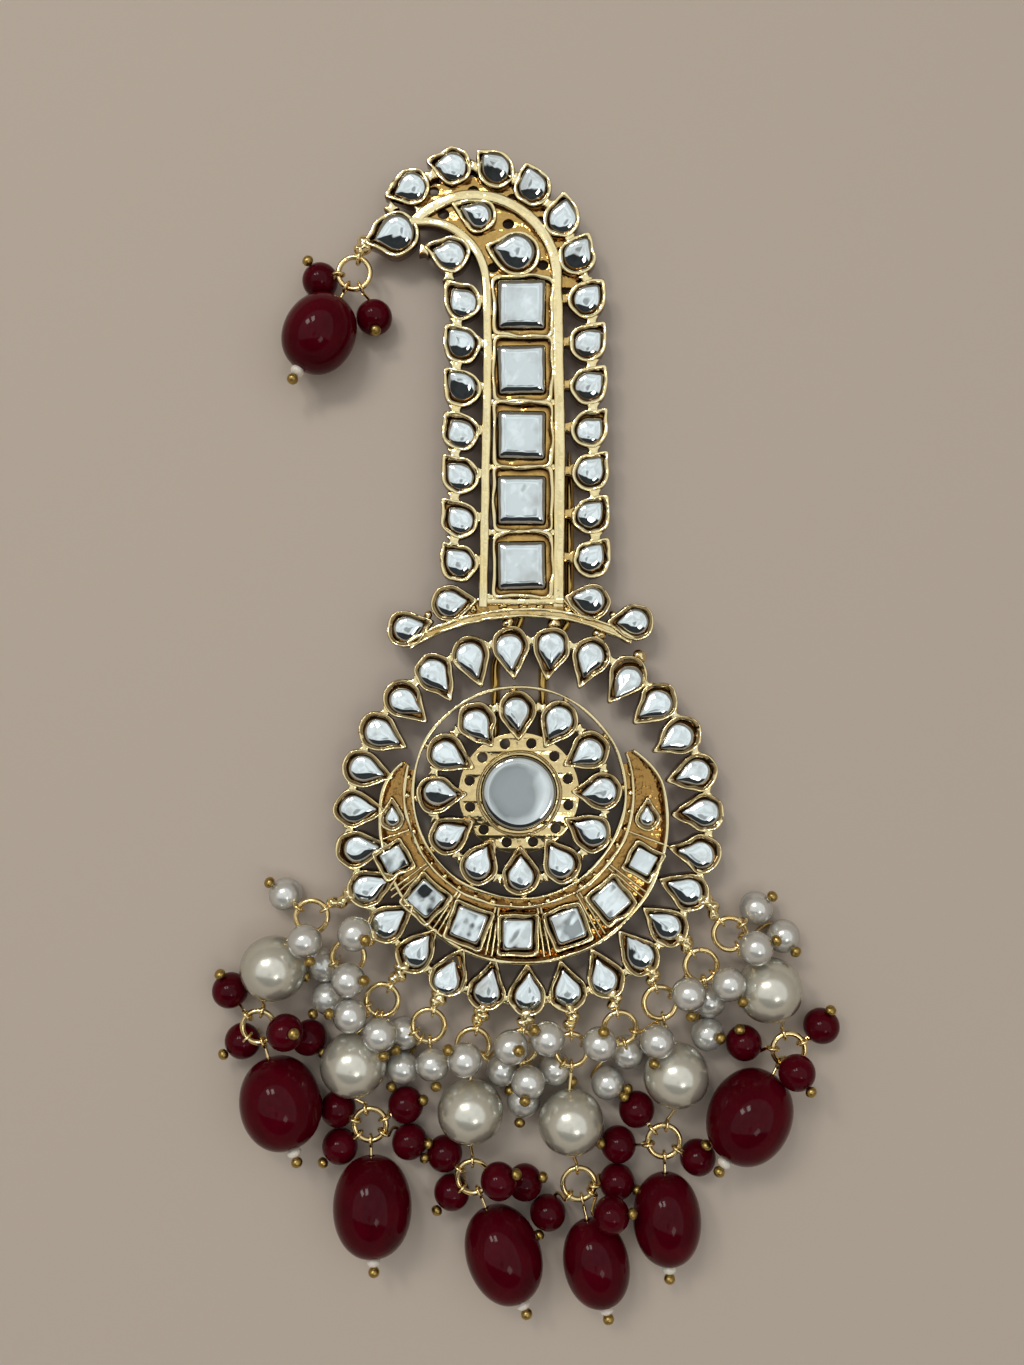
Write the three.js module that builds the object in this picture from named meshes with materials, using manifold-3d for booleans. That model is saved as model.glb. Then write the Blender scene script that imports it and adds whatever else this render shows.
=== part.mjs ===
// A kalgi, the jewelled plume that is pinned on a turban, lying on its back.
// Millimetres. X to the right, Y up the plume, Z out of the jewelled face, the floor at Z = 0.
// The origin is on the floor under the centre of the medallion's round stone.

import * as THREE from 'three';
import { mergeVertices } from 'three/addons/utils/BufferGeometryUtils.js';
import Module from 'manifold-3d';

const wasm = await Module();
wasm.setup();

// Heights of the casting above the floor
const BACK = 3.0;
const WEB_TOP = 4.0;
const RAIL_TOP = 5.1;
const RIM_TOP = 5.2;
const STONE_TOP = 5.8;

// A small setting with its stone: how far the table is in from the outline, at most a share of it
const TABLE_INSET = 1.45;
const TABLE_SHARE = 0.6;
const PEAR_STEPS = 6;

// Loose stones in their pockets
const SEAT_TOP = 3.6;
const FIT_GAP = 0.3;
const LOOSE_WALL = 0.5;
const LOOSE_TOP = 6.4;
const LOOSE_CROWN = [
  { inset: 0.9, below: 0.3 },
  { inset: 1.9, below: 0 },
];

// Medallion: circle of outer petals, wheel of petals in a ring, round stone
const PETAL_COUNT = 27;
const PETAL_CENTRE = { x: 1.5, y: -4.2 };
const PETAL_RADIUS = 26.5;
const PETAL_FIRST = 96;
const PETAL = { round: 2.95, tip: 5.4 };
const WHEEL_CENTRE = { x: 0, y: 0 };
const WHEEL_COUNT = 12;
const WHEEL_RADIUS = 12.6;
const WHEEL_FIRST = 91;
const WHEEL_PETAL = { round: 2.95, tip: 4.9 };
const RING_INNER = 15.45;
const RING_OUTER = 16.45;
const RING_STEPS = 24;
const WEB_RADIUS = 8.9;
const WEB_HOLE = { radius: 0.85, reach: 7.65 };
const ROUND_BEZEL = 6.5;
const ROUND_STONE = 5.85;
const ROUND_STEPS = 16;

// Low bands that join the petals of each circle side by side
const PETAL_BAND = { radius: 26.9, width: 1.3 };
const WHEEL_BAND = { radius: 13.3, width: 1.0 };
const BAND_TOP = 4.5;

// Lumps of solder: on a run of outer petals, at a distance from their circle's centre, and in the curl
const COLLAR_LUMP = { reach: 29.95, radius: 1.3, from: -2, to: 3 };
const TIP_LUMP = { reach: 20.8, radius: 0.7, from: 0, to: 1 };
const CURL_LUMPS = [
  { x: -10.6, y: 77.7, radius: 1.1 },
  { x: 10.0, y: 77.4, radius: 1.1 },
];

// Crescent under the wheel, with seven squares and a small petal at each horn
const CRESCENT = { x: 0.7, y: -4.0, radius: 21.9, inner: 16.2, from: 172, to: 372 };
const HORN_LEFT = { x: -17.4, y: 4.35, bearing: 166 };
const HORN_RIGHT = { x: 17.1, y: 6.15, bearing: 20 };
const CRESCENT_BOTTOM = -90.4;
const CRESCENT_STEP = 20.5;
const CRESCENT_REACH = 21.3;
const CRESCENT_RIM = 0.7;
const CRESCENT_STEPS = 18;
const CRESCENT_GAP = { inner: 19.0, outer: 23.6, half: 1.7 };
const CRESCENT_SQUARES = [
  { turn: -3, side: 5.3 },
  { turn: -2, side: 6.3 },
  { turn: -1, side: 6.5 },
  { turn: 0, side: 6.5 },
  { turn: 1, side: 6.5 },
  { turn: 2, side: 6.3 },
  { turn: 3, side: 5.3 },
];
const HORN_PETALS = [
  { x: -19.1, y: -3.9, bearing: 90 },
  { x: 19.3, y: -3.9, bearing: 90 },
];
const HORN_PETAL = { round: 1.9, tip: 3.6 };

// Collar: an arc bar between plume and medallion, with two petals at each end
const COLLAR = { x: 0.9, y: -6.15, radius: 33.3, width: 1.4, from: 59, to: 121.5 };
const SIDE_PETAL = { round: 2.9, tip: 4.35 };
const COLLAR_PETALS = [
  { x: 10.95, y: 28.65, bearing: 169 },
  { x: 17.5, y: 25.65, bearing: 180 },
  { x: -10.5, y: 28.5, bearing: 6 },
  { x: -17.1, y: 24.6, bearing: 15 },
];

// Web from the plume's foot down to the collar: where it ends on the collar, and its height above the foot
const FOOT_WEB = { from: 106, to: 75, steps: 4, rise: 1.4 };

// Plume: a ladder of five square cells between two rails that curl over to the left
const LADDER = { x: 0.6, top: 73.5, roof: 77.5, pitch: 9.8, width: 9.3, wall: 0.55, stone: 6.8, count: 5 };
const PLUME_FOOT = 28.0;
const LEFT_RAIL = { width: 1.45, arcX: -14.55, arcY: 76.35, radius: 9.6, from: 0, sweep: 102, steps: 9 };
const LEFT_RUN = [
  { x: -5.4, y: 28.0 },
  { x: -4.7, y: 66.0 },
];
const RIGHT_RAIL = { width: 1.9, arcX: -6.75, arcY: 77.25, radius: 12.5, from: -10, sweep: 137, steps: 12 };
const RIGHT_RUN = [
  { x: 5.9, y: 28.0 },
  { x: 6.15, y: 52.0 },
];

// Side petals: the columns lean outwards by a share of the drop, are tied to the rails, and are
// joined to each other by short necks beside their centres
const LEFT_PETALS = { x: -8.4, top: 73.8, lean: -0.0155, pitch: 6.55, bearing: 129, neck: -0.8, tieTop: 4.9 };
const RIGHT_PETALS = { x: 10.2, top: 74.1, lean: 0.02, pitch: 6.5, bearing: 50, neck: 0.5, tieTop: 4.3 };
const COLUMN_COUNT = 7;
const TIE = { half: 0.8, left: -5.0, right: 6.2 };
const NECK = { half: 0.8, below: 0.1 };
const CURL_PETALS = [
  { x: -10.2, y: 81.0, bearing: 164 },
  { x: -16.2, y: 91.05, bearing: 200 },
  { x: -9.9, y: 94.2, bearing: 170 },
  { x: -3.45, y: 93.6, bearing: 135 },
  { x: 2.1, y: 90.9, bearing: 106 },
  { x: 6.45, y: 86.25, bearing: 86 },
  { x: 8.7, y: 80.55, bearing: 64 },
];
const LOOSE_PEARS = [
  { name: 'plume_pear_tip', x: -18.45, y: 84.0, bearing: 193, round: 3.5, tip: 5.3 },
  { name: 'plume_pear_inner', x: -5.95, y: 86.6, bearing: 155, round: 2.7, tip: 4.7 },
  { name: 'plume_pear_big', x: -0.3, y: 81.0, bearing: 166, round: 3.5, tip: 5.3 },
];

// Web of the curl: a band under the outer petals and a plate between the rails, with round holes
const CURL_BAND = { radius: 14.6, width: 4.2, from: -6, to: 128, steps: 12 };
const CURL_PLATE = { minX: -14.5, minY: 77.2 };
const CURL_HOLE = 0.95;
const CURL_HOLES = [
  { x: -11.4, y: 87.3 },
  { x: -1.6, y: 85.8 },
  { x: -6.9, y: 90.8 },
  { x: -12.9, y: 90.7 },
  { x: -1.0, y: 89.6 },
  { x: 3.2, y: 86.2 },
  { x: 6.3, y: 81.6 },
];

// Wire work: jump rings, and eyes that stand across them
const LINK = { radius: 2.4, wire: 0.33, height: 4.6 };
const EYE = { radius: 0.98, wire: 0.28 };
const STEM = 0.3;
const LUG = 0.65;
const LUG_DROP = 0.4;

// Beads
const BIG_PEARL = 5.0;
const SMALL_PEARL = 2.6;
const SMALL_MAROON = 2.75;
const FLOOR_CLEAR = 0.05;

// Hanging strands, numbered by the petal they hang from, with the upper jump ring's centre
const PEARL_LINKS = [
  { petal: 10, x: 31.7, y: -21.2 },
  { petal: 11, x: 27.4, y: -26.0 },
  { petal: 12, x: 21.2, y: -31.6 },
  { petal: 13, x: 15.2, y: -35.4 },
  { petal: 14, x: 7.9, y: -38.7 },
  { petal: 15, x: 0.2, y: -38.2 },
  { petal: 16, x: -6.9, y: -37.9 },
  { petal: 17, x: -13.6, y: -35.0 },
  { petal: 18, x: -20.6, y: -31.2 },
  { petal: 19, x: -25.7, y: -24.6 },
  { petal: 20, x: -31.2, y: -18.6 },
];
// Small pearls: the ring that each hangs on, its centre, and its height
const SMALL_PEARLS = [
  { petal: 20, x: -35.5, y: -15.6, z: 2.7 },
  { petal: 20, x: -31.6, y: -21.6, z: 8.4 },
  { petal: 19, x: -29.6, y: -26.4, z: 2.7 },
  { petal: 19, x: -25.2, y: -27.3, z: 8.4 },
  { petal: 19, x: -29.0, y: -31.4, z: 2.7 },
  { petal: 19, x: -24.2, y: -20.4, z: 8.7 },
  { petal: 18, x: -20.6, y: -35.4, z: 8.2 },
  { petal: 18, x: -25.0, y: -32.6, z: 8.0 },
  { petal: 17, x: -17.5, y: -36.7, z: 2.7 },
  { petal: 17, x: -17.7, y: -42.0, z: 2.7 },
  { petal: 17, x: -13.0, y: -40.8, z: 4.9 },
  { petal: 16, x: -8.0, y: -38.8, z: 9.1 },
  { petal: 16, x: -2.5, y: -42.3, z: 2.7 },
  { petal: 15, x: -1.2, y: -37.2, z: 8.4 },
  { petal: 15, x: 1.35, y: -43.0, z: 6.5 },
  { petal: 15, x: 0.7, y: -47.0, z: 2.7 },
  { petal: 15, x: 4.2, y: -35.9, z: 8.4 },
  { petal: 14, x: 5.5, y: -42.2, z: 2.7 },
  { petal: 14, x: 11.9, y: -36.7, z: 8.4 },
  { petal: 13, x: 13.5, y: -44.3, z: 2.7 },
  { petal: 13, x: 16.5, y: -39.6, z: 2.7 },
  { petal: 13, x: 20.4, y: -36.4, z: 8.2 },
  { petal: 12, x: 25.0, y: -29.4, z: 8.4 },
  { petal: 11, x: 28.9, y: -31.8, z: 2.7 },
  { petal: 11, x: 28.7, y: -36.9, z: 2.7 },
  { petal: 11, x: 31.0, y: -28.0, z: 8.0 },
  { petal: 10, x: 36.1, y: -17.7, z: 2.7 },
  { petal: 10, x: 34.9, y: -22.6, z: 8.4 },
  { petal: 10, x: 40.2, y: -22.0, z: 2.7 },
];
// Big pearl and lower jump ring of each long strand
const STRANDS = [
  { petal: 10, pearlX: 37.6, pearlY: -29.6, ringX: 40.6, ringY: -38.6 },
  { petal: 12, pearlX: 23.6, pearlY: -42.4, ringX: 21.8, ringY: -52.4 },
  { petal: 14, pearlX: 7.8, pearlY: -49.4, ringX: 9.0, ringY: -58.8 },
  { petal: 16, pearlX: -7.3, pearlY: -47.8, ringX: -6.9, ringY: -57.8 },
  { petal: 18, pearlX: -24.9, pearlY: -40.8, ringX: -22.4, ringY: -49.9 },
  { petal: 20, pearlX: -36.9, pearlY: -26.4, ringX: -39.2, ringY: -35.2 },
];
// Big maroon bead at the end of each long strand
const DROPS = [
  { petal: 10, x: 34.4, y: -48.2, width: 12.2, length: 14.4 },
  { petal: 12, x: 22.2, y: -63.9, width: 10.3, length: 13.5 },
  { petal: 14, x: 11.6, y: -70.6, width: 9.9, length: 13.0 },
  { petal: 16, x: -2.3, y: -69.0, width: 11.1, length: 14.4 },
  { petal: 18, x: -21.9, y: -61.7, width: 11.8, length: 14.6 },
  { petal: 20, x: -35.6, y: -46.2, width: 12.0, length: 13.8 },
];
const SMALL_MAROONS = [
  { petal: 20, x: -43.9, y: -30.2, z: 2.8 },
  { petal: 20, x: -42.0, y: -37.9, z: 2.8 },
  { petal: 20, x: -34.5, y: -35.0, z: 8.4 },
  { petal: 20, x: -31.9, y: -37.4, z: 2.8 },
  { petal: 18, x: -27.5, y: -48.2, z: 2.8 },
  { petal: 18, x: -27.2, y: -53.9, z: 2.8 },
  { petal: 18, x: -17.2, y: -47.6, z: 2.8 },
  { petal: 18, x: -16.6, y: -53.2, z: 2.8 },
  { petal: 16, x: -11.3, y: -55.0, z: 2.8 },
  { petal: 16, x: -10.2, y: -60.9, z: 2.8 },
  { petal: 16, x: -3.0, y: -56.9, z: 8.4 },
  { petal: 16, x: 0.9, y: -59.4, z: 2.8 },
  { petal: 14, x: 4.4, y: -64.0, z: 2.8 },
  { petal: 14, x: 13.6, y: -61.9, z: 8.4 },
  { petal: 14, x: 14.9, y: -59.3, z: 2.8 },
  { petal: 12, x: 17.9, y: -48.3, z: 2.8 },
  { petal: 12, x: 15.1, y: -53.6, z: 2.8 },
  { petal: 12, x: 27.2, y: -55.6, z: 2.8 },
  { petal: 10, x: 34.2, y: -38.2, z: 2.8 },
  { petal: 10, x: 46.0, y: -35.6, z: 2.8 },
  { petal: 10, x: 41.0, y: -41.0, z: 8.2 },
];
const TIP_LINK = { x: -24.8, y: 78.2 };
const TIP_MAROONS = [
  { x: -30.2, y: 77.7, z: 2.8 },
  { x: -22.0, y: 72.1, z: 2.8 },
];
const TIP_DROP = { x: -29.9, y: 68.9, width: 10.7, length: 12.4 };

// Two-prong pin: a foot behind the round stone, and prongs that run up behind the plume
const PIN = { foot: 9.5, footHeight: 6.5, wide: 1.3, thick: 1.5, between: 7.3 };
const PIN_ROUTE = [
  { x: 0, y: -3 },
  { x: 0, y: 20 },
  { x: 4.1, y: 26 },
  { x: 4.1, y: 52 },
];

const GOLD = { color: 0xd9b45c, roughness: 0.25, metalness: 1 };
const MIRROR_GLASS = { color: 0xdfe1e0, roughness: 0.08, metalness: 0.9 };
const PEARL = { color: 0xe9dfc8, roughness: 0.3, metalness: 0 };
const MAROON = { color: 0x4b0716, roughness: 0.12, metalness: 0 };

const kalgi = new THREE.Group();

function radians(degrees) {
  return THREE.MathUtils.degToRad(degrees);
}

function polar(centre, reach, bearing) {
  const angle = radians(bearing);
  return { x: centre.x + reach * Math.cos(angle), y: centre.y + reach * Math.sin(angle) };
}

// Turns a closed three.js geometry into a solid that can be joined and cut
function solidOf(geometry) {
  const bare = geometry.clone();
  bare.deleteAttribute('normal');
  bare.deleteAttribute('uv');
  const merged = mergeVertices(bare, 1e-4);
  const mesh = new wasm.Mesh({
    numProp: 3,
    vertProperties: new Float32Array(merged.attributes.position.array),
    triVerts: new Uint32Array(merged.index.array),
  });
  return new wasm.Manifold(mesh);
}

function joined(solids) {
  return solids.reduce((whole, solid) => whole.add(solid));
}

function addPiece(name, solid, look) {
  const mesh = solid.getMesh();
  const geometry = new THREE.BufferGeometry();
  geometry.setAttribute('position', new THREE.BufferAttribute(mesh.vertProperties, 3));
  geometry.setIndex(new THREE.BufferAttribute(mesh.triVerts, 1));
  geometry.computeVertexNormals();
  const piece = new THREE.Mesh(geometry, new THREE.MeshStandardMaterial(look));
  piece.name = name;
  kalgi.add(piece);
}

// A solid skinned over rings of points, lowest first, each ring anticlockwise and convex
function loft(rings) {
  const count = rings[0].length;
  const positions = rings.flat().flatMap((point) => [point.x, point.y, point.z]);
  const faces = [];
  for (let level = 0; level + 1 < rings.length; level += 1) {
    for (let side = 0; side < count; side += 1) {
      const a = level * count + side;
      const b = level * count + ((side + 1) % count);
      faces.push(a, b, b + count);
      faces.push(a, b + count, a + count);
    }
  }
  const last = (rings.length - 1) * count;
  for (let side = 1; side + 1 < count; side += 1) {
    faces.push(0, side + 1, side);
    faces.push(last, last + side, last + side + 1);
  }
  const geometry = new THREE.BufferGeometry();
  geometry.setAttribute('position', new THREE.Float32BufferAttribute(positions, 3));
  geometry.setIndex(faces);
  return solidOf(geometry);
}

// A drop outline: an arc about the origin, closed by two tangents that meet in a tip on +X
function pearOutline(round, tip) {
  const tangent = Math.acos(round / tip);
  const outline = [new THREE.Vector2(tip, 0)];
  for (let step = 0; step <= PEAR_STEPS; step += 1) {
    const angle = tangent + ((2 * Math.PI - 2 * tangent) * step) / PEAR_STEPS;
    outline.push(new THREE.Vector2(round * Math.cos(angle), round * Math.sin(angle)));
  }
  return outline;
}

function squareOutline(side) {
  const half = side / 2;
  return [
    new THREE.Vector2(half, -half),
    new THREE.Vector2(half, half),
    new THREE.Vector2(-half, half),
    new THREE.Vector2(-half, -half),
  ];
}

function circleOutline(radius, steps) {
  return Array.from({ length: steps }, (unused, step) => {
    const angle = (2 * Math.PI * step) / steps;
    return new THREE.Vector2(radius * Math.cos(angle), radius * Math.sin(angle));
  });
}

// Lofts an outline through rows of inset and height; scaling about the inscribed circle's centre
// moves every side inwards by the same inset
function insetLoft(outline, inscribed, place, rows) {
  const turn = radians(place.bearing ?? 0);
  const rings = rows.map((row) => {
    const scale = (inscribed - row.inset) / inscribed;
    return outline.map((point) => {
      const spot = point.clone().multiplyScalar(scale).rotateAround(new THREE.Vector2(), turn);
      return new THREE.Vector3(place.x + spot.x, place.y + spot.y, row.z);
    });
  });
  return loft(rings);
}

// A closed setting with its stone: wall, sloped crown and table
function filledSetting(outline, inscribed, place) {
  const table = Math.min(TABLE_INSET, inscribed * TABLE_SHARE);
  return insetLoft(outline, inscribed, place, [
    { inset: 0, z: BACK },
    { inset: 0, z: RIM_TOP },
    { inset: table, z: STONE_TOP },
  ]);
}

function petalSetting(size, place) {
  return filledSetting(pearOutline(size.round, size.tip), size.round, place);
}

// An open pocket for a loose stone: a wall round a seat
function openSetting(outline, inscribed, place, wall) {
  const block = insetLoft(outline, inscribed, place, [
    { inset: 0, z: BACK },
    { inset: 0, z: RIM_TOP },
  ]);
  const pocket = insetLoft(outline, inscribed, place, [
    { inset: wall, z: SEAT_TOP },
    { inset: wall, z: RIM_TOP + 1 },
  ]);
  return block.subtract(pocket);
}

// A loose stone: flat back, girdle level with the lip, a sloped crown and a table
function looseStone(outline, inscribed, place, wall) {
  const edge = wall + FIT_GAP;
  return insetLoft(outline, inscribed, place, [
    { inset: edge, z: SEAT_TOP + FIT_GAP },
    { inset: edge, z: RIM_TOP },
    ...LOOSE_CROWN.map((row) => ({ inset: edge + row.inset, z: LOOSE_TOP - row.below })),
  ]);
}

function box(x0, x1, y0, y1, z0, z1) {
  const geometry = new THREE.BoxGeometry(x1 - x0, y1 - y0, z1 - z0);
  geometry.translate((x0 + x1) / 2, (y0 + y1) / 2, (z0 + z1) / 2);
  return solidOf(geometry);
}

function extruded(shape, z0, z1, curveSegments) {
  const geometry = new THREE.ExtrudeGeometry(shape, { depth: z1 - z0, bevelEnabled: false, curveSegments });
  geometry.translate(0, 0, z0);
  return solidOf(geometry);
}

// A flat bar of even width along a route of points
function bar(route, width, z0, z1) {
  return loft(route.map((point, index) => {
    const before = route[Math.max(index - 1, 0)];
    const after = route[Math.min(index + 1, route.length - 1)];
    const along = new THREE.Vector2(after.x - before.x, after.y - before.y).normalize();
    const side = { x: (-along.y * width) / 2, y: (along.x * width) / 2 };
    return [
      new THREE.Vector3(point.x - side.x, point.y - side.y, z0),
      new THREE.Vector3(point.x + side.x, point.y + side.y, z0),
      new THREE.Vector3(point.x + side.x, point.y + side.y, z1),
      new THREE.Vector3(point.x - side.x, point.y - side.y, z1),
    ];
  }));
}

function arcRoute(centre, radius, from, to, steps) {
  return Array.from({ length: steps + 1 }, (unused, step) =>
    polar(centre, radius, from + ((to - from) * step) / steps));
}

function railArc(rail) {
  return arcRoute({ x: rail.arcX, y: rail.arcY }, rail.radius, rail.from, rail.sweep, rail.steps);
}

function nugget(place, radius, z) {
  const geometry = new THREE.OctahedronGeometry(radius);
  geometry.translate(place.x, place.y, z);
  return solidOf(geometry);
}

function drill(place, radius) {
  const geometry = new THREE.CylinderGeometry(radius, radius, RIM_TOP, 6);
  geometry.rotateX(Math.PI / 2);
  geometry.translate(place.x, place.y, BACK);
  return solidOf(geometry);
}

// Sets a geometry so that its own X, Y and Z lie along three directions at a point
function placed(geometry, xAxis, yAxis, zAxis, point) {
  const matrix = new THREE.Matrix4().makeBasis(xAxis, yAxis, zAxis);
  geometry.applyMatrix4(matrix.setPosition(point));
  return solidOf(geometry);
}

// A straight wire between two points
function stem(start, end, radius) {
  const along = end.clone().sub(start);
  const length = along.length();
  const geometry = new THREE.CylinderGeometry(radius, radius, length, 3);
  const turn = new THREE.Quaternion().setFromUnitVectors(new THREE.Vector3(0, 1, 0), along.normalize());
  geometry.applyQuaternion(turn);
  geometry.translate((start.x + end.x) / 2, (start.y + end.y) / 2, (start.z + end.z) / 2);
  return solidOf(geometry);
}

function linkCentre(link) {
  return new THREE.Vector3(link.x, link.y, LINK.height);
}

// A jump ring lies level; the eyes that it holds stand across it
function jumpRing(link) {
  const geometry = new THREE.TorusGeometry(LINK.radius, LINK.wire, 5, 10);
  geometry.translate(link.x, link.y, LINK.height);
  return solidOf(geometry);
}

function ringPoint(link, target) {
  const centre = linkCentre(link);
  const reach = new THREE.Vector3(target.x - centre.x, target.y - centre.y, 0).normalize();
  return centre.addScaledVector(reach, LINK.radius);
}

function eye(link, target) {
  const point = ringPoint(link, target);
  const outwards = new THREE.Vector3(target.x - link.x, target.y - link.y, 0).normalize();
  const up = new THREE.Vector3(0, 0, 1);
  const across = new THREE.Vector3().crossVectors(outwards, up);
  return placed(new THREE.TorusGeometry(EYE.radius, EYE.wire, 5, 6), outwards, up, across, point);
}

// The stretch of wire from an eye's outer side to a target
function eyeStem(link, target, radius) {
  const point = ringPoint(link, target);
  const outwards = new THREE.Vector3(target.x - link.x, target.y - link.y, 0).normalize();
  return stem(point.addScaledVector(outwards, EYE.radius), target, radius);
}

function bead(point, radius, sides, rows) {
  const geometry = new THREE.SphereGeometry(radius, sides, rows);
  geometry.rotateX(Math.PI / 2);
  geometry.translate(point.x, point.y, point.z);
  return solidOf(geometry);
}

// A tumbled oval bead, long axis towards the eye that it hangs from
function ovalBead(centre, width, length, towards) {
  const profile = new THREE.SphereGeometry(0.5, 10, 6);
  profile.scale(width, length, width);
  const along = towards.clone().sub(centre).normalize();
  const across = new THREE.Vector3().crossVectors(along, new THREE.Vector3(0, 0, 1)).normalize();
  const up = new THREE.Vector3().crossVectors(across, along);
  return placed(profile, across, along, up, centre);
}

function petalBearing(number) {
  return PETAL_FIRST - ((number - 1) * 360) / PETAL_COUNT;
}

// Lumps on a run of outer petals, counted from the first one
function petalLumps(lump) {
  const numbers = Array.from({ length: lump.to - lump.from + 1 }, (unused, step) => lump.from + step);
  return numbers.map((number) =>
    nugget(polar(PETAL_CENTRE, lump.reach, petalBearing(number + 1)), lump.radius, WEB_TOP));
}

function medallion() {
  const solids = [
    pierceWeb(),
    wheelRing(),
    ...petalLumps(COLLAR_LUMP),
    ...petalLumps(TIP_LUMP),
    band(PETAL_CENTRE, PETAL_BAND, PETAL_FIRST, PETAL_COUNT),
    band(WHEEL_CENTRE, WHEEL_BAND, WHEEL_FIRST, WHEEL_COUNT),
  ];
  for (let number = 1; number <= PETAL_COUNT; number += 1) {
    const bearing = petalBearing(number);
    const centre = polar(PETAL_CENTRE, PETAL_RADIUS, bearing);
    solids.push(petalSetting(PETAL, { ...centre, bearing: bearing + 180 }));
  }
  for (let number = 0; number < WHEEL_COUNT; number += 1) {
    const bearing = WHEEL_FIRST + (number * 360) / WHEEL_COUNT;
    const centre = polar(WHEEL_CENTRE, WHEEL_RADIUS, bearing);
    solids.push(petalSetting(WHEEL_PETAL, { ...centre, bearing: bearing + 180 }));
  }
  return joined(solids);
}

// A full circle of straight bars from the middle of one petal to the next
function band(centre, size, first, count) {
  return bar(arcRoute(centre, size.radius, first, first + 360, count), size.width, BACK, BAND_TOP);
}

function wheelRing() {
  const ring = new THREE.Shape();
  ring.absarc(WHEEL_CENTRE.x, WHEEL_CENTRE.y, RING_OUTER, 0, 2 * Math.PI, false);
  const inside = new THREE.Path();
  inside.absarc(WHEEL_CENTRE.x, WHEEL_CENTRE.y, RING_INNER, 0, 2 * Math.PI, false);
  ring.holes.push(inside);
  return extruded(ring, BACK, RAIL_TOP, RING_STEPS);
}

// The round stone's pocket in a disc with a ring of small holes
function pierceWeb() {
  const disc = new THREE.Shape(circleOutline(WEB_RADIUS, RING_STEPS));
  for (let number = 0; number < WHEEL_COUNT; number += 1) {
    const bearing = WHEEL_FIRST + ((number + 0.5) * 360) / WHEEL_COUNT;
    const centre = polar({ x: 0, y: 0 }, WEB_HOLE.reach, bearing);
    const shift = new THREE.Vector2(centre.x, centre.y);
    const rim = circleOutline(WEB_HOLE.radius, 6).map((point) => point.add(shift));
    disc.holes.push(new THREE.Path(rim));
  }
  const web = extruded(disc, BACK, WEB_TOP, 1).translate([WHEEL_CENTRE.x, WHEEL_CENTRE.y, 0]);
  const bezel = circleOutline(ROUND_BEZEL, ROUND_STEPS);
  const block = openSetting(bezel, ROUND_BEZEL, WHEEL_CENTRE, ROUND_BEZEL - ROUND_STONE);
  const clear = insetLoft(circleOutline(ROUND_STONE, ROUND_STEPS), ROUND_STONE, WHEEL_CENTRE, [
    { inset: 0, z: SEAT_TOP },
    { inset: 0, z: RIM_TOP + 1 },
  ]);
  return web.subtract(clear).add(block);
}

function crescent() {
  const shape = new THREE.Shape();
  shape.absarc(CRESCENT.x, CRESCENT.y, CRESCENT.radius, radians(CRESCENT.from), radians(CRESCENT.to), false);
  shape.lineTo(HORN_RIGHT.x, HORN_RIGHT.y);
  shape.absarc(WHEEL_CENTRE.x, WHEEL_CENTRE.y, CRESCENT.inner,
    radians(HORN_RIGHT.bearing), radians(HORN_LEFT.bearing), true);
  shape.lineTo(HORN_LEFT.x, HORN_LEFT.y);
  const plate = extruded(shape, BACK, WEB_TOP, CRESCENT_STEPS);
  const rimRadius = CRESCENT.radius - CRESCENT_RIM / 2;
  const rim = arcRoute(CRESCENT, rimRadius, CRESCENT.from, CRESCENT.to, CRESCENT_STEPS);
  const solids = [plate, bar(rim, CRESCENT_RIM, BACK, RAIL_TOP)];
  for (const square of CRESCENT_SQUARES) {
    const bearing = CRESCENT_BOTTOM + square.turn * CRESCENT_STEP;
    const place = { ...polar(WHEEL_CENTRE, CRESCENT_REACH, bearing), bearing };
    solids.push(filledSetting(squareOutline(square.side), square.side / 2, place));
  }
  for (const place of HORN_PETALS) {
    solids.push(petalSetting(HORN_PETAL, place));
  }
  return joined(solids).subtract(joined(webGaps()));
}

// The V-shaped gaps between neighbouring squares
function webGaps() {
  const gaps = [];
  for (let number = -3; number < 3; number += 1) {
    const bearing = CRESCENT_BOTTOM + (number + 0.5) * CRESCENT_STEP;
    const inner = polar(WHEEL_CENTRE, CRESCENT_GAP.inner, bearing);
    const left = polar(WHEEL_CENTRE, CRESCENT_GAP.outer, bearing - CRESCENT_GAP.half);
    const right = polar(WHEEL_CENTRE, CRESCENT_GAP.outer, bearing + CRESCENT_GAP.half);
    const shape = new THREE.Shape();
    shape.moveTo(inner.x, inner.y);
    shape.lineTo(left.x, left.y);
    shape.lineTo(right.x, right.y);
    gaps.push(extruded(shape, BACK - 1, RIM_TOP + 1, 1));
  }
  return gaps;
}

function collar() {
  const route = arcRoute(COLLAR, COLLAR.radius, COLLAR.from, COLLAR.to, 10);
  const bottom = arcRoute(COLLAR, COLLAR.radius, FOOT_WEB.from, FOOT_WEB.to, FOOT_WEB.steps);
  const top = PLUME_FOOT + FOOT_WEB.rise;
  const corners = [...bottom, { x: RIGHT_RUN[0].x, y: top }, { x: LEFT_RUN[0].x, y: top }];
  const web = new THREE.Shape(corners.map((point) => new THREE.Vector2(point.x, point.y)));
  const solids = [bar(route, COLLAR.width, BACK, RAIL_TOP), extruded(web, BACK, WEB_TOP, 1)];
  for (const place of COLLAR_PETALS) {
    solids.push(petalSetting(SIDE_PETAL, place));
  }
  return joined(solids);
}

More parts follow.
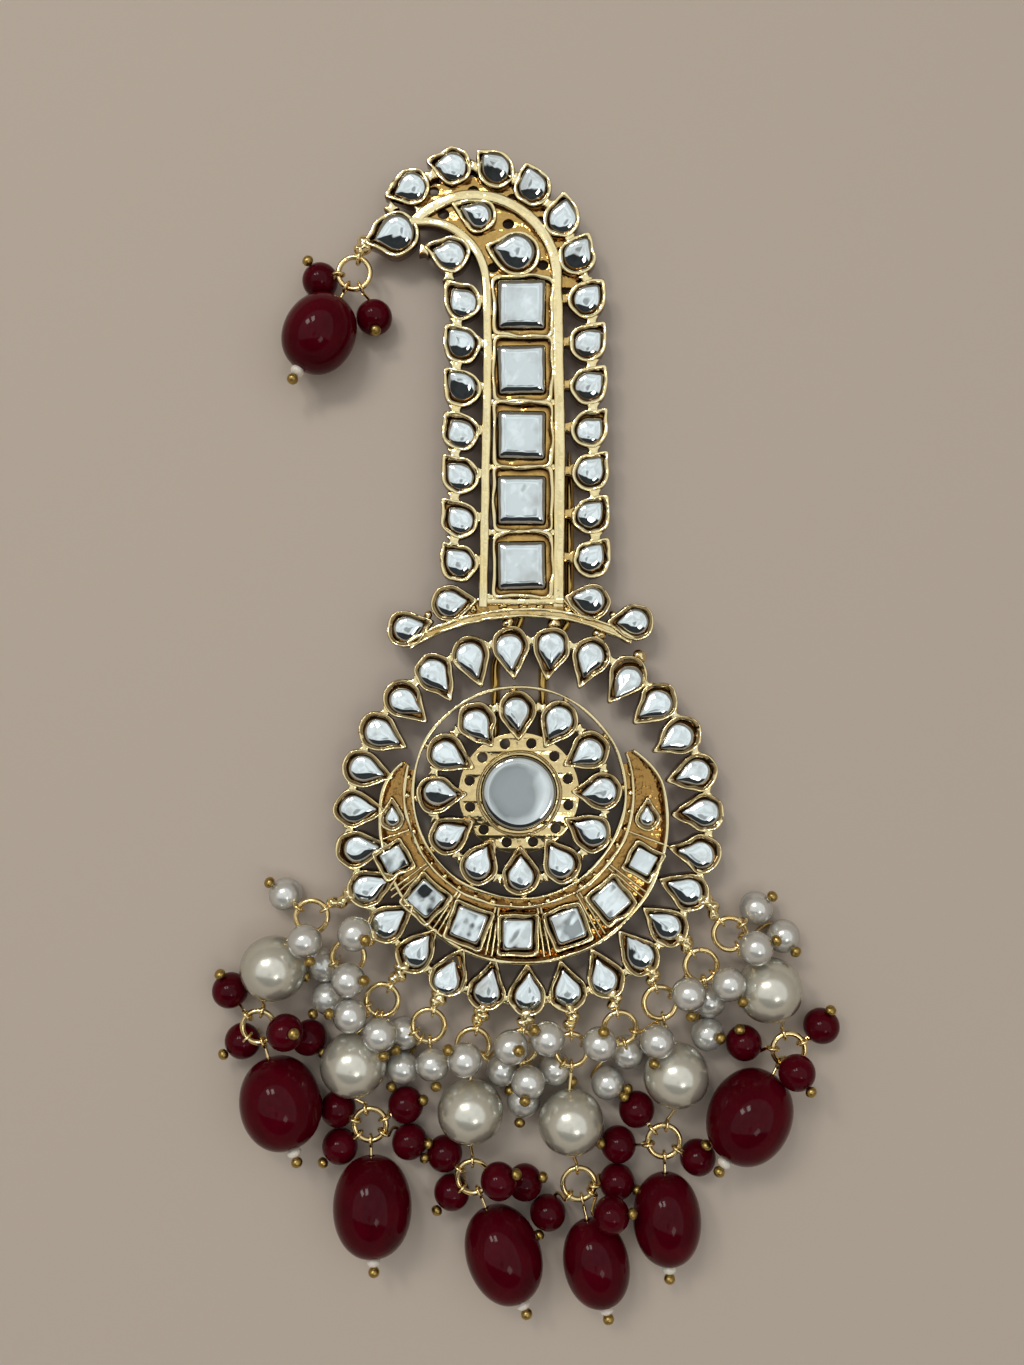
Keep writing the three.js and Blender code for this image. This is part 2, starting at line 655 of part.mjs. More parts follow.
function plume() {
  const leftArc = railArc(LEFT_RAIL);
  const rightArc = railArc(RIGHT_RAIL);
  const solids = [
    bar([...LEFT_RUN, ...leftArc], LEFT_RAIL.width, BACK, RAIL_TOP),
    bar([...RIGHT_RUN, ...rightArc], RIGHT_RAIL.width, BACK, RAIL_TOP),
    ...curlWeb(leftArc, rightArc),
    ...ladder(),
    ...sideColumn(LEFT_PETALS, TIE.left),
    ...sideColumn(RIGHT_PETALS, TIE.right),
    ...CURL_PETALS.map((place) => petalSetting(SIDE_PETAL, place)),
    ...CURL_LUMPS.map((lump) => nugget(lump, lump.radius, WEB_TOP)),
  ];
  const clear = CURL_HOLES.map((place) => drill(place, CURL_HOLE));
  for (const pear of LOOSE_PEARS) {
    const outline = pearOutline(pear.round, pear.tip);
    solids.push(openSetting(outline, pear.round, pear, LOOSE_WALL));
    clear.push(insetLoft(outline, pear.round, pear, [
      { inset: LOOSE_WALL, z: SEAT_TOP },
      { inset: LOOSE_WALL, z: RIM_TOP + 1 },
    ]));
  }
  return joined(solids).subtract(joined(clear));
}

// A column of side petals with their ties to the rail and the necks between them
function sideColumn(column, railX) {
  const solids = [];
  for (let number = 0; number < COLUMN_COUNT; number += 1) {
    const drop = column.pitch * number;
    const x = column.x + column.lean * drop;
    const y = column.top - drop;
    solids.push(petalSetting(SIDE_PETAL, { x, y, bearing: column.bearing }));
    solids.push(box(Math.min(x, railX), Math.max(x, railX), y - TIE.half, y + TIE.half, BACK, column.tieTop));
    if (number > 0) {
      const middle = { x: x + column.neck, y: y + column.pitch / 2 };
      solids.push(box(middle.x - NECK.half, middle.x + NECK.half, middle.y - NECK.half, middle.y + NECK.half,
        BACK, RIM_TOP - NECK.below));
    }
  }
  return solids;
}

function ladderCells() {
  return Array.from({ length: LADDER.count }, (unused, number) => {
    const y = LADDER.top - LADDER.pitch * number;
    return { y, low: y - LADDER.pitch / 2, high: Math.min(y + LADDER.pitch / 2, LADDER.roof) };
  });
}

// Rectangular cells that share their walls, each with a pocket, on rungs from rail to rail
function ladder() {
  const half = LADDER.width / 2;
  const wall = LADDER.wall;
  const solids = [];
  for (const cell of ladderCells()) {
    const [left, right] = [LADDER.x - half, LADDER.x + half];
    const block = box(left, right, cell.low - wall / 2, cell.high + wall / 2, BACK, RIM_TOP);
    const [bottom, top] = [cell.low + wall / 2, cell.high - wall / 2];
    const pocket = box(left + wall, right - wall, bottom, top, SEAT_TOP, RIM_TOP + 1);
    solids.push(block.subtract(pocket));
    solids.push(box(LEFT_RUN[0].x, RIGHT_RUN[1].x, cell.low - wall / 2, cell.low + wall / 2, BACK, RAIL_TOP));
  }
  solids.push(box(LEFT_RUN[0].x, RIGHT_RUN[0].x, PLUME_FOOT, PLUME_FOOT + FOOT_WEB.rise, BACK, RAIL_TOP));
  return solids;
}

// The thin webs that carry the outer petals and fill the curl between the rails
function curlWeb(leftArc, rightArc) {
  const centre = { x: RIGHT_RAIL.arcX, y: RIGHT_RAIL.arcY };
  const band = arcRoute(centre, CURL_BAND.radius, CURL_BAND.from, CURL_BAND.to, CURL_BAND.steps);
  const between = [...leftArc, ...[...rightArc].reverse()]
    .filter((point) => point.y > CURL_PLATE.minY && point.x > CURL_PLATE.minX);
  const shape = new THREE.Shape(between.map((point) => new THREE.Vector2(point.x, point.y)));
  return [bar(band, CURL_BAND.width, BACK, WEB_TOP), extruded(shape, BACK, WEB_TOP, 1)];
}

// The eyelets that the strands hang from, each on a lug from its petal
function hangers() {
  const solids = [];
  for (const link of PEARL_LINKS) {
    const petal = polar(PETAL_CENTRE, PETAL_RADIUS, petalBearing(link.petal));
    const root = new THREE.Vector3(petal.x, petal.y, LINK.height - LUG_DROP);
    solids.push(eye(link, root), eyeStem(link, root, LUG));
  }
  const tipPear = LOOSE_PEARS[0];
  const tip = polar(tipPear, tipPear.tip - LUG_DROP, tipPear.bearing);
  const tipRoot = new THREE.Vector3(tip.x, tip.y, LINK.height - LUG_DROP);
  solids.push(eye(TIP_LINK, tipRoot), eyeStem(TIP_LINK, tipRoot, LUG));
  return joined(solids);
}

function beadBunch(link, beads, radius) {
  const solids = [jumpRing(link)];
  for (const place of beads) {
    const centre = new THREE.Vector3(place.x, place.y, place.z);
    solids.push(bead(centre, radius, 10, 4), stem(ringPoint(link, centre), centre, STEM));
  }
  return joined(solids);
}

function pearlDrop(strand, upper) {
  const centre = new THREE.Vector3(strand.pearlX, strand.pearlY, BIG_PEARL + FLOOR_CLEAR);
  const lower = { x: strand.ringX, y: strand.ringY };
  return joined([
    bead(centre, BIG_PEARL, 10, 6),
    eye(upper, centre),
    eyeStem(upper, centre, STEM),
    eye(lower, centre),
    eyeStem(lower, centre, STEM),
  ]);
}

function maroonDrop(link, drop) {
  const centre = new THREE.Vector3(drop.x, drop.y, drop.width / 2 + 2 * FLOOR_CLEAR);
  const oval = ovalBead(centre, drop.width, drop.length, ringPoint(link, centre));
  return joined([oval, eye(link, centre), eyeStem(link, centre, STEM)]);
}

function backPin() {
  const centreTop = BACK - FIT_GAP;
  const foot = box(-PIN.foot / 2, PIN.foot / 2, -PIN.footHeight / 2, PIN.footHeight / 2, 0, centreTop);
  const prongs = [-1, 1].map((side) => {
    const route = PIN_ROUTE.map((point) => ({ x: point.x + (side * PIN.between) / 2, y: point.y }));
    return bar(route, PIN.wide, 0, PIN.thick);
  });
  return joined([foot, ...prongs]);
}

addPiece('gold_frame', joined([medallion(), crescent(), collar(), plume(), hangers()]), GOLD);
addPiece('back_pin', backPin(), GOLD);
addPiece('centre_stone', looseStone(circleOutline(ROUND_BEZEL, ROUND_STEPS), ROUND_BEZEL, WHEEL_CENTRE,
  ROUND_BEZEL - ROUND_STONE), MIRROR_GLASS);
ladderCells().forEach((cell, index) => {
  const outline = squareOutline(LADDER.stone + 2 * FIT_GAP);
  const stone = looseStone(outline, LADDER.stone / 2 + FIT_GAP, { x: LADDER.x, y: cell.y }, 0);
  addPiece(`plume_square_${index + 1}`, stone, MIRROR_GLASS);
});
for (const pear of LOOSE_PEARS) {
  const stone = looseStone(pearOutline(pear.round, pear.tip), pear.round, pear, LOOSE_WALL);
  addPiece(pear.name, stone, MIRROR_GLASS);
}
for (const link of PEARL_LINKS) {
  const beads = SMALL_PEARLS.filter((place) => place.petal === link.petal);
  addPiece(`pearl_bunch_${link.petal}`, beadBunch(link, beads, SMALL_PEARL), PEARL);
}
for (const strand of STRANDS) {
  const upper = PEARL_LINKS.find((link) => link.petal === strand.petal);
  const lower = { x: strand.ringX, y: strand.ringY };
  const beads = SMALL_MAROONS.filter((place) => place.petal === strand.petal);
  addPiece(`pearl_drop_${strand.petal}`, pearlDrop(strand, upper), PEARL);
  addPiece(`maroon_bunch_${strand.petal}`, beadBunch(lower, beads, SMALL_MAROON), MAROON);
  const drop = DROPS.find((row) => row.petal === strand.petal);
  addPiece(`maroon_drop_${strand.petal}`, maroonDrop(lower, drop), MAROON);
}
addPiece('tip_bunch', beadBunch(TIP_LINK, TIP_MAROONS, SMALL_MAROON), MAROON);
addPiece('tip_drop', maroonDrop(TIP_LINK, TIP_DROP), MAROON);

export default kalgi;
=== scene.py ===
import math

import bmesh
import bpy
import numpy as np
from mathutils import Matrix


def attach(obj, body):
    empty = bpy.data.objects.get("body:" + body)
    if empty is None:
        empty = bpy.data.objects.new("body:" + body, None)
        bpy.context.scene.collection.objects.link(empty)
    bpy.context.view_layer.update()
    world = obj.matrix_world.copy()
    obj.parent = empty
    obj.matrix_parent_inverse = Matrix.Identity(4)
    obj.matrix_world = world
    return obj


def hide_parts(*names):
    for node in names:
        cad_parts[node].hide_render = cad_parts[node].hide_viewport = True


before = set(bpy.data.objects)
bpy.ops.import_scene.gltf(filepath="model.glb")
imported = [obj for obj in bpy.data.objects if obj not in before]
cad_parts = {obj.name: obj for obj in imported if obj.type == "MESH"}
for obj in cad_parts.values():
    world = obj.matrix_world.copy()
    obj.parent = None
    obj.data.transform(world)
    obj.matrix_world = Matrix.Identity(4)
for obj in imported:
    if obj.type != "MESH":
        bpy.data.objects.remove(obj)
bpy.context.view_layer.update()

# A kalgi: gold plated casting, foiled glass stones, pearls and maroon glass beads, lying on a plain table.
# Sizes are in millimetres, in the part's own frame: X is right, Y up the plume, Z out of the face.
# A place is (x, y, bearing) with the bearing in degrees, and a shell is a dictionary of one closed skin.

mm = 0.001
fullTurn = 2 * math.pi
upwards = np.array([0, 0, 1.0])
sharpFrom = 50  # degrees between faces


# Mesh tools

def gridShell(grid, wrapRows=False, material=0, values=0.0):
    # a closed skin over a grid of points: the columns always run round, and the rows run round too or
    # end in a cap that fans out from the mean of the last ring
    rows, columns = grid.shape[:2]
    index = np.arange(rows * columns).reshape(rows, columns)
    here = index if wrapRows else index[:-1]
    above = np.roll(index, -1, 0) if wrapRows else index[1:]
    quads = np.stack([here, np.roll(here, -1, 1), np.roll(above, -1, 1), above], -1).reshape(-1, 4)
    points = grid.reshape(-1, 3)
    values = np.broadcast_to(values, (rows, columns)).reshape(-1)
    triangles = np.zeros((0, 3), int)
    if not wrapRows:
        points = np.vstack([points, grid[0].mean(0), grid[-1].mean(0)])
        values = np.append(values, [values[0], values[-1]])
        first, last = rows * columns, rows * columns + 1
        low = np.stack([np.full(columns, first), np.roll(index[0], -1), index[0]], -1)
        high = np.stack([np.full(columns, last), index[-1], np.roll(index[-1], -1)], -1)
        triangles = np.vstack([low, high])
    return outward(dict(points=points, quads=quads, triangles=triangles, material=material, values=values))


def outward(shell):
    # the signed volume, a sum of corner triple products, is negative when a skin is inside out
    quads = shell["quads"]
    every = np.vstack([quads[:, [0, 1, 2]], quads[:, [0, 2, 3]], shell["triangles"]])
    a, b, c = (shell["points"][every[:, k]] for k in range(3))
    if np.einsum("ij,ij->i", a, np.cross(b, c)).sum() < 0:
        shell["quads"] = quads[:, ::-1]
        shell["triangles"] = shell["triangles"][:, ::-1]
    return shell


def addObject(name, data):
    # an object at the origin, in the scene
    thing = bpy.data.objects.new(name, data)
    bpy.context.scene.collection.objects.link(thing)
    return thing


def makePiece(name, shells, materials, nodes):
    # joins shells in one mesh: each shell's corner numbers rise by the count of points before it
    faces, slots, start = [], [], 0
    for shell in shells:
        corners = (shell["quads"] + start).tolist() + (shell["triangles"] + start).tolist()
        faces.extend(corners)
        slots.extend([shell["material"]] * len(corners))
        start += len(shell["points"])
    mesh = bpy.data.meshes.new(name)
    mesh.from_pydata(np.vstack([shell["points"] for shell in shells]) * mm, [], faces)
    mesh.polygons.foreach_set("material_index", slots)
    mesh.polygons.foreach_set("use_smooth", np.ones(len(faces), bool))
    mesh.validate()
    mesh.set_sharp_from_angle(angle=math.radians(sharpFrom))
    # the edge attribute holds each point's share of painted shade, on the casting's walls and at the stones'
    # girdles
    edge = mesh.attributes.new("edge", "FLOAT", "POINT")
    edge.data.foreach_set("value", np.concatenate([shell["values"] for shell in shells]).astype(np.float32))
    for material in materials:
        mesh.materials.append(material)
    piece = addObject(name, mesh)
    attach(piece, "root")
    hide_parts(*nodes)
    return piece


def unit(vector):
    # divided by its own length
    return vector / np.maximum(np.linalg.norm(vector, axis=-1, keepdims=True), 1e-9)


def polar(centre, reach, bearing):
    # the centre plus the reach times the cosine and sine of the bearing
    angle = np.radians(bearing)
    return np.array([centre[0] + reach * np.cos(angle), centre[1] + reach * np.sin(angle)])


def raised(flat, z):
    # flat points with their height as a third coordinate
    return np.concatenate([flat, np.broadcast_to(z, flat.shape[:-1])[..., None]], -1)


def loopWave(count, seed, size, waves=6):
    # a few sine waves round a loop, each with a seeded phase and weight: the uneven edge of a casting
    random = np.random.default_rng(seed)
    orders = np.arange(1, waves + 1)
    phases = random.uniform(0, fullTurn, waves)
    weights = random.normal(0, 1, waves) / np.sqrt(waves)
    turns = np.arange(count)[:, None] / count
    return size * np.sin(fullTurn * turns * orders + phases) @ weights


# Outlines, anticlockwise about the centre of their inscribed circle

def soften(loop, passes):
    # each point moves to the mean of itself and its two neighbours
    for step in range(passes):
        loop = (np.roll(loop, 1, 0) + loop + np.roll(loop, -1, 0)) / 3
    return loop


def evenPoints(corners, count, endpoint=True):
    # points at even distances along straight sides, each with its distance from the last corner
    along = np.append(0, np.cumsum(np.linalg.norm(np.diff(corners, axis=0), axis=1)))
    steps = np.linspace(0, along[-1], count, endpoint=endpoint)
    return np.stack([np.interp(steps, along, corners[:, k]) for k in range(2)], -1), along[-1] - steps


def cornerLoop(corners, count, passes=1):
    # even points on a closed run of straight sides, softened
    return soften(evenPoints(np.vstack([corners, corners[:1]]), count, False)[0], passes)


def squareLoop(width, height, count=48, passes=2):
    # four corners at half the width and height, then softened
    x, y = width / 2, height / 2
    return cornerLoop(np.array([[x, -y], [x, y], [-x, y], [-x, -y]]), count, passes)


def circleLoop(radius, count):
    # cosine and sine of even angles, times the radius
    angles = fullTurn * np.arange(count) / count
    return radius * np.stack([np.cos(angles), np.sin(angles)], -1)


def pearLoop(roundRadius, tip, count=44, passes=1):
    # a circle and its two tangents from a tip on the X axis
    tangent = math.acos(roundRadius / tip)
    angles = np.linspace(tangent, fullTurn - tangent, 60)
    arc = roundRadius * np.stack([np.cos(angles), np.sin(angles)], -1)
    return cornerLoop(np.vstack([[tip, 0], arc]), count, passes)


def placeLoops(flat, place):
    # turns flat points by the place's bearing and moves them to its centre
    turn = math.radians(place[2])
    matrix = np.array([[math.cos(turn), math.sin(turn)], [-math.sin(turn), math.cos(turn)]])
    return flat @ matrix + np.array(place[:2])


# Forms of the jewel

def cup(loop, inscribed, place, rows, seed, wobble=0.09, lift=0.08):
    # an open setting: rings of the outline, scaled so that every side moves in by the row's inset,
    # from under the foot, up the wall, over the lip and down to the floor
    insets, heights, lipAndShade = (np.array(column, float) for column in zip(*rows))
    wave = loopWave(len(loop), seed, wobble)
    inner = loopWave(len(loop), seed + 1, wobble * 0.9, 9)
    lip = loopWave(len(loop), seed + 2, lift, 8)
    share = np.clip(insets / 0.5, 0, 1)[:, None]
    scale = (inscribed - insets[:, None] + wave + share * inner) / inscribed
    flat = placeLoops(loop * scale[:, :, None], place)
    z = heights[:, None] + lipAndShade[:, None] * lip
    # the edge value is painted shade: full where the row's share is 0, as on the walls, and none on the lip
    return gridShell(raised(flat, z), values=np.clip((1 - lipAndShade) * 1.6, 0, 1)[:, None])


def rimRows(back, rim, floor, width, slope, drop=0.35):
    # a setting's section as rows of inset, height and share of the lip's unevenness, which also sets the
    # painted shade on the plating, full at 0 and none at 1: the wall, a steep shoulder, a flat lip, a slope
    # and a step down by the stone
    inner = width + slope
    return [
        (inner + 0.6, back, 0), (0.15, back, 0), (0.0, back + 0.2, 0), (0.0, rim - 0.45, 0),
        (0.05, rim - 0.2, 0.5), (0.12, rim - 0.04, 0.9), (0.18, rim, 1), (width - 0.08, rim - 0.02, 1),
        (width, rim - 0.08, 0.9), (inner, rim - drop, 0.45), (inner + 0.05, rim - drop - 0.25, 0),
        (inner + 0.1, floor, 0), (inner + 0.6, floor, 1),
    ]


# the stones' sections: share of the way to the girdle, and share of the height
cabochonRows = [(1, 0), (0.985, 0.14), (0.95, 0.26), (0.9, 0.39), (0.83, 0.53), (0.75, 0.65), (0.65, 0.77),
                (0.54, 0.86), (0.42, 0.925), (0.3, 0.965), (0.18, 0.99), (0.05, 1)]
roundRows = [(1, 0), (0.985, 0.35), (0.955, 0.6), (0.92, 0.78), (0.885, 0.88), (0.85, 0.93), (0.78, 0.955),
             (0.6, 0.978), (0.4, 0.99), (0.2, 0.998), (0.05, 1)]
tableRows = [(1, 0), (0.985, 0.28), (0.95, 0.5), (0.88, 0.76), (0.83, 0.9), (0.79, 0.97), (0.75, 1),
             (0.73, 1), (0.6, 1), (0.45, 1), (0.3, 1), (0.15, 1), (0.05, 1)]
ladderRows = [(1, 0), (0.99, 0.2), (0.965, 0.4), (0.925, 0.56), (0.875, 0.7), (0.825, 0.81), (0.775, 0.89),
              (0.725, 0.95), (0.675, 0.985), (0.63, 1), (0.61, 1), (0.5, 1), (0.4, 1), (0.3, 1), (0.2, 1),
              (0.05, 1)]


def stone(loop, inscribed, place, look, seed):
    # scaled outlines stacked by the look's rows, with a tilt and waves, and an edge value, the share of
    # painted shade at the girdle, that runs from 0 inside to 1 at the girdle
    random = np.random.default_rng(seed)
    share, rise = np.array(look["rows"]).T
    lean = np.tan(np.radians(np.array([0, look["lean"]]) + random.normal(0, look["tilt"], 2)))
    size = (inscribed - look["inset"]) / inscribed * random.uniform(0.96, 1.03)
    flat = placeLoops(loop * (size * share)[:, None, None], (0, 0, place[2]))
    x, y = flat[:, :, 0], flat[:, :, 1]
    waves = (np.sin(1.1 * x + 0.5 * y + seed) + 0.7 * np.sin(1.2 * y - 0.7 * x + 2 * seed)
             + 0.3 * np.sin(2.9 * x - 2.1 * y + seed))
    base = look["base"] + look["girdle"]
    z = base + look["height"] * rise[:, None] + flat @ lean + look["waves"] * waves
    grid = np.concatenate([raised(flat[:1] * 0.97, look["base"] - 0.3), raised(flat, z)])
    grid[:, :, :2] += np.array(place[:2])
    return gridShell(grid, values=np.append(1.0, share ** 6)[:, None])


def pad(place, wide, high, low, top, seed, waist=1.0):
    # a low mound of solder with an uneven outline and an eased edge; a waist under 1 draws in its middle
    half = min(wide, high) / 2
    rows = [(0.0, low), (0.0, top - 0.3), (0.07, top - 0.08), (0.22, top), (half * 0.8, top + 0.02)]
    count = 36
    loop = squareLoop(wide, high, count, 2)
    loop[:, 0] *= waist + (1 - waist) * (loop[:, 1] / (high / 2)) ** 2
    wave = loopWave(count, seed, 0.07)
    rings = [raised(placeLoops(loop * ((half - inset + wave) / half)[:, None], place), z)
             for inset, z in rows]
    # the edge value is painted shade: full on the pad's sides, a little on its eased edge, none on top
    return gridShell(np.stack(rings), values=np.array([1, 1, 0.3, 0, 0])[:, None])


def pathFrame(path, normal, closed):
    # the direction from the point before to the point after, and the normal's cross product with it
    ends = np.roll(path, -1, 0) - np.roll(path, 1, 0)
    if not closed:
        ends[0], ends[-1] = path[1] - path[0], path[-1] - path[-2]
    along = unit(ends)
    return unit(np.cross(np.broadcast_to(normal, path.shape), along))


def wire(path, radius, normal=upwards, sides=10, closed=False, material=0):
    # a round section carried along a flat path whose plane has the given normal
    normal = unit(np.array(normal, float))
    side = pathFrame(path, normal, closed)
    angles = fullTurn * np.arange(sides) / sides
    radius = np.broadcast_to(radius, len(path))[:, None, None]
    section = np.cos(angles)[None, :, None] * side[:, None] + np.sin(angles)[None, :, None] * normal
    return gridShell(path[:, None] + radius * section, wrapRows=closed, material=material)


def rail(route, width, low, high, seed, closed=False, waver=0.06):
    # a bar with a flat hammered top and eased edges; its width, height and line wander
    path = raised(route, 0.0)
    side = pathFrame(path, upwards, closed)
    across = np.array([-0.46, -0.5, -0.5, -0.46, -0.4, -0.28, 0, 0.28, 0.4, 0.46, 0.5, 0.5, 0.46])
    rise = np.array([0, 0.06, 0.76, 0.91, 0.98, 1, 1.0, 1, 0.98, 0.91, 0.76, 0.06, 0])
    steps = len(route)
    wide = width + loopWave(steps, seed, waver, 16)
    tall = high - low + loopWave(steps, seed + 1, waver, 12)
    shift = loopWave(steps, seed + 2, waver * 0.6, 9)
    roll = loopWave(steps, seed + 3, waver * 0.8, 14)
    offset = across[None] * wide[:, None] + shift[:, None]
    flat = path[:, None] + side[:, None] * offset[:, :, None]
    flat[:, :, 2] = low + rise[None] * (tall[:, None] + across[None] * roll[:, None])
    # the edge value is painted shade: full on the bar's sides, none on its flat top
    return gridShell(flat, wrapRows=closed, values=np.clip((0.96 - rise) / 0.16, 0, 1))


def curve(start, handle, end, count=10):
    # a quadratic bow from start to end that leaves towards the handle
    t = np.linspace(0, 1, count)[:, None]
    return (1 - t) ** 2 * np.array(start) + 2 * t * (1 - t) * np.array(handle) + t ** 2 * np.array(end)


def lineRoute(start, end, step=0.8):
    # even points on a straight line
    count = max(3, int(np.hypot(end[0] - start[0], end[1] - start[1]) / step))
    return np.linspace(start, end, count)


def polyRoute(corners, step=0.8):
    # straight lines joined at the corners
    parts = [lineRoute(a, b, step)[:-1] for a, b in zip(corners[:-1], corners[1:])]
    return np.vstack(parts + [np.array(corners[-1:], float)])


def arcRoute(centre, radius, start, end, step=0.7):
    # even bearings on a circle
    count = max(3, int(abs(math.radians(end - start)) * radius / step))
    return polar(centre, radius, np.linspace(start, end, count)).T


def nugget(centre, radius, seed, squash=0.8, material=0):
    # a lump of solder: a ball whose radius swells and dips with the two angles
    u = np.linspace(0.12, math.pi - 0.12, 9)[:, None]
    v = (fullTurn * np.arange(14) / 14)[None]
    lump = 1 + 0.13 * np.sin(2 * v + seed) * np.sin(u) + 0.1 * np.cos(3 * v - 2 * seed) * np.sin(2 * u)
    x = radius * lump * np.sin(u) * np.cos(v)
    y = radius * lump * np.sin(u) * np.sin(v)
    z = -radius * squash * lump * np.cos(u)
    return gridShell(np.stack([x, y, z], -1) + np.array(centre, float), material=material)


def turned(centre, axis, profile, sides=28, material=0, dent=0.0, seed=0):
    # a profile of radius and height turned about an axis, with shallow dents that follow both angles
    axis = unit(np.array(axis, float))
    helper = upwards if abs(axis[2]) < 0.8 else np.array([0, 1.0, 0])
    across = unit(np.cross(helper, axis))
    up = np.cross(axis, across)
    angles = (fullTurn * np.arange(sides) / sides)[None]
    radius, height = profile[:, 0][:, None], profile[:, 1][:, None]
    scale = height / np.abs(height).max()
    wave = np.sin(2 * angles + seed) * np.cos(1.7 * scale + seed) + 0.6 * np.sin(3 * angles - seed) * scale
    radius = radius * (1 + dent * wave)
    ring = np.cos(angles)[:, :, None] * across + np.sin(angles)[:, :, None] * up
    grid = np.array(centre, float) + radius[:, :, None] * ring + height[:, :, None] * axis
    return gridShell(grid, material=material)


def beadProfile(width, length, hole, power=2.0):
    # an oval half section, sine to the power of 2 over power, that dips into a small hole at both ends
    angles = np.linspace(0.0, math.pi, 27)[1:-1]
    radius = width / 2 * np.sin(angles) ** (2 / power)
    height = -length / 2 * np.cos(angles)
    keep = radius > hole
    radius, height = radius[keep], height[keep]
    depth = height[-1]
    ends = [(hole * 0.55, -depth + 0.35), (hole * 0.9, -depth + 0.02)]
    top = [(hole * 0.9, depth - 0.02), (hole * 0.55, depth - 0.35)]
    return np.vstack([ends, np.stack([radius, height], -1), top])


def plate(outline, holes, low, high, bevel=0.1):
    # a flat sheet with its holes cut through, as a filled flat curve; its edge value, the share of painted
    # shade, is 1 in the lower half
    sheet = bpy.data.curves.new("plate", "CURVE")
    sheet.dimensions = "2D"
    sheet.fill_mode = "BOTH"
    sheet.extrude = ((high - low) / 2 - bevel) * mm
    sheet.bevel_depth = bevel * mm
    sheet.bevel_resolution = 1
    for loop in [outline] + holes:
        spline = sheet.splines.new("POLY")
        spline.points.add(len(loop) - 1)
        row = np.concatenate([loop * mm, np.zeros((len(loop), 1)), np.ones((len(loop), 1))], -1)
        spline.points.foreach_set("co", row.ravel())
        spline.use_cyclic_u = True
    holder = bpy.data.objects.new("plate", sheet)
    mesh = bpy.data.meshes.new_from_object(holder)
    form = bmesh.new()
    form.from_mesh(mesh)
    bmesh.ops.remove_doubles(form, verts=form.verts, dist=1e-7)
    bmesh.ops.triangulate(form, faces=form.faces)
    bmesh.ops.recalc_face_normals(form, faces=form.faces)
    form.to_mesh(mesh)
    form.free()
    points = np.zeros(len(mesh.vertices) * 3)
    mesh.vertices.foreach_get("co", points)
    middle = (low + high) / 2
    points = points.reshape(-1, 3) / mm + np.array([0, 0, middle])
    corners = np.zeros(len(mesh.polygons) * 3, int)
    mesh.polygons.foreach_get("vertices", corners)
    bpy.data.objects.remove(holder)
    values = np.where(points[:, 2] < middle, 1.0, 0.0)
    return outward(dict(points=points, quads=np.zeros((0, 4), int), triangles=corners.reshape(-1, 3),
                        material=0, values=values))


# Materials

def srgb(text):
    # an sRGB hex value as a linear colour
    channels = [int(text[k:k + 2], 16) / 255 for k in (1, 3, 5)]
    return tuple(c / 12.92 if c <= 0.04045 else ((c + 0.055) / 1.055) ** 2.4 for c in channels) + (1.0,)


def setInputs(tree, node, inputs):
    # a socket is linked, and anything else becomes the input's value
    for name, value in inputs.items():
        if isinstance(value, bpy.types.NodeSocket):
            tree.links.new(value, node.inputs[name])
        else:
            node.inputs[name].default_value = value
    return node


def addNode(tree, kind, inputs=None, **settings):
    # one node with its settings, links and values
    node = tree.nodes.new("ShaderNode" + kind)
    for name, value in settings.items():
        setattr(node, name, value)
    return setInputs(tree, node, inputs or {})


def newMaterial(name, look, patterns):
    # a material and its noises: a pattern's scale is one over the size of its features in metres, and the
    # patterns say how fine each noise's detail is
    material = bpy.data.materials.new(name)
    material.use_nodes = True
    tree = material.node_tree
    place = addNode(tree, "TexCoord").outputs["Object"]
    noises = {}
    for pattern, detail in patterns.items():
        noise = {"Vector": place, "Scale": 1 / (look[pattern] * mm), "Detail": detail}
        noises[pattern] = addNode(tree, "TexNoise", noise).outputs["Fac"]
    return material, tree, tree.nodes["Principled BSDF"], place, noises


def goldPlating(name, look):
    # gold plate on a polished zinc casting, one gold with painted light and shade: bright on top, olive on
    # slopes, brown on walls and in recesses
    material, tree, shader, place, noises = newMaterial(name, look, dict(clouds=1.0, smears=2.0, ripple=2.0))
    height = addNode(tree, "SeparateXYZ", {"Vector": place}).outputs["Z"]
    low, middle, high = (level * mm for level in look["levels"])
    # painted shade by height: the recess colour below the low level, the slope colour up to the middle level,
    # and the lighter crest colour above it
    rise, litCrestShare = (addNode(tree, "MapRange", {"Value": height, "From Min": start, "From Max": end})
                   .outputs["Result"] for start, end in ((low, middle), (middle, high)))
    # the edge attribute marks walls and the sides of bars and pads, which get the wall colour as painted
    # shade and reflection
    walls = addNode(tree, "Attribute", attribute_name="edge").outputs["Fac"]
    top = addNode(tree, "Mix", {0: noises["clouds"], 6: srgb(look["light"]), 7: srgb(look["warm"])},
                  data_type="RGBA").outputs[2]
    colour = srgb(look["recessShade"])
    for share, layer in ((rise, srgb(look["slope"])), (litCrestShare, top), (walls, srgb(look["wall"]))):
        colour = addNode(tree, "Mix", {0: share, 6: colour, 7: layer}, data_type="RGBA").outputs[2]
    rough = addNode(tree, "MapRange", {"Value": noises["smears"], "To Min": look["smooth"],
                                       "To Max": look["dull"]}).outputs["Result"]
    worn = addNode(tree, "MapRange", {"Value": rise, "To Min": 1.0, "To Max": look["worn"]})
    bump = addNode(tree, "Bump", {"Height": noises["ripple"], "Distance": look["rippleDepth"] * mm,
                                  "Strength": worn.outputs["Result"]}).outputs["Normal"]
    setInputs(tree, shader, {"Metallic": 1.0, "Base Color": colour, "Roughness": rough, "Normal": bump})
    return material


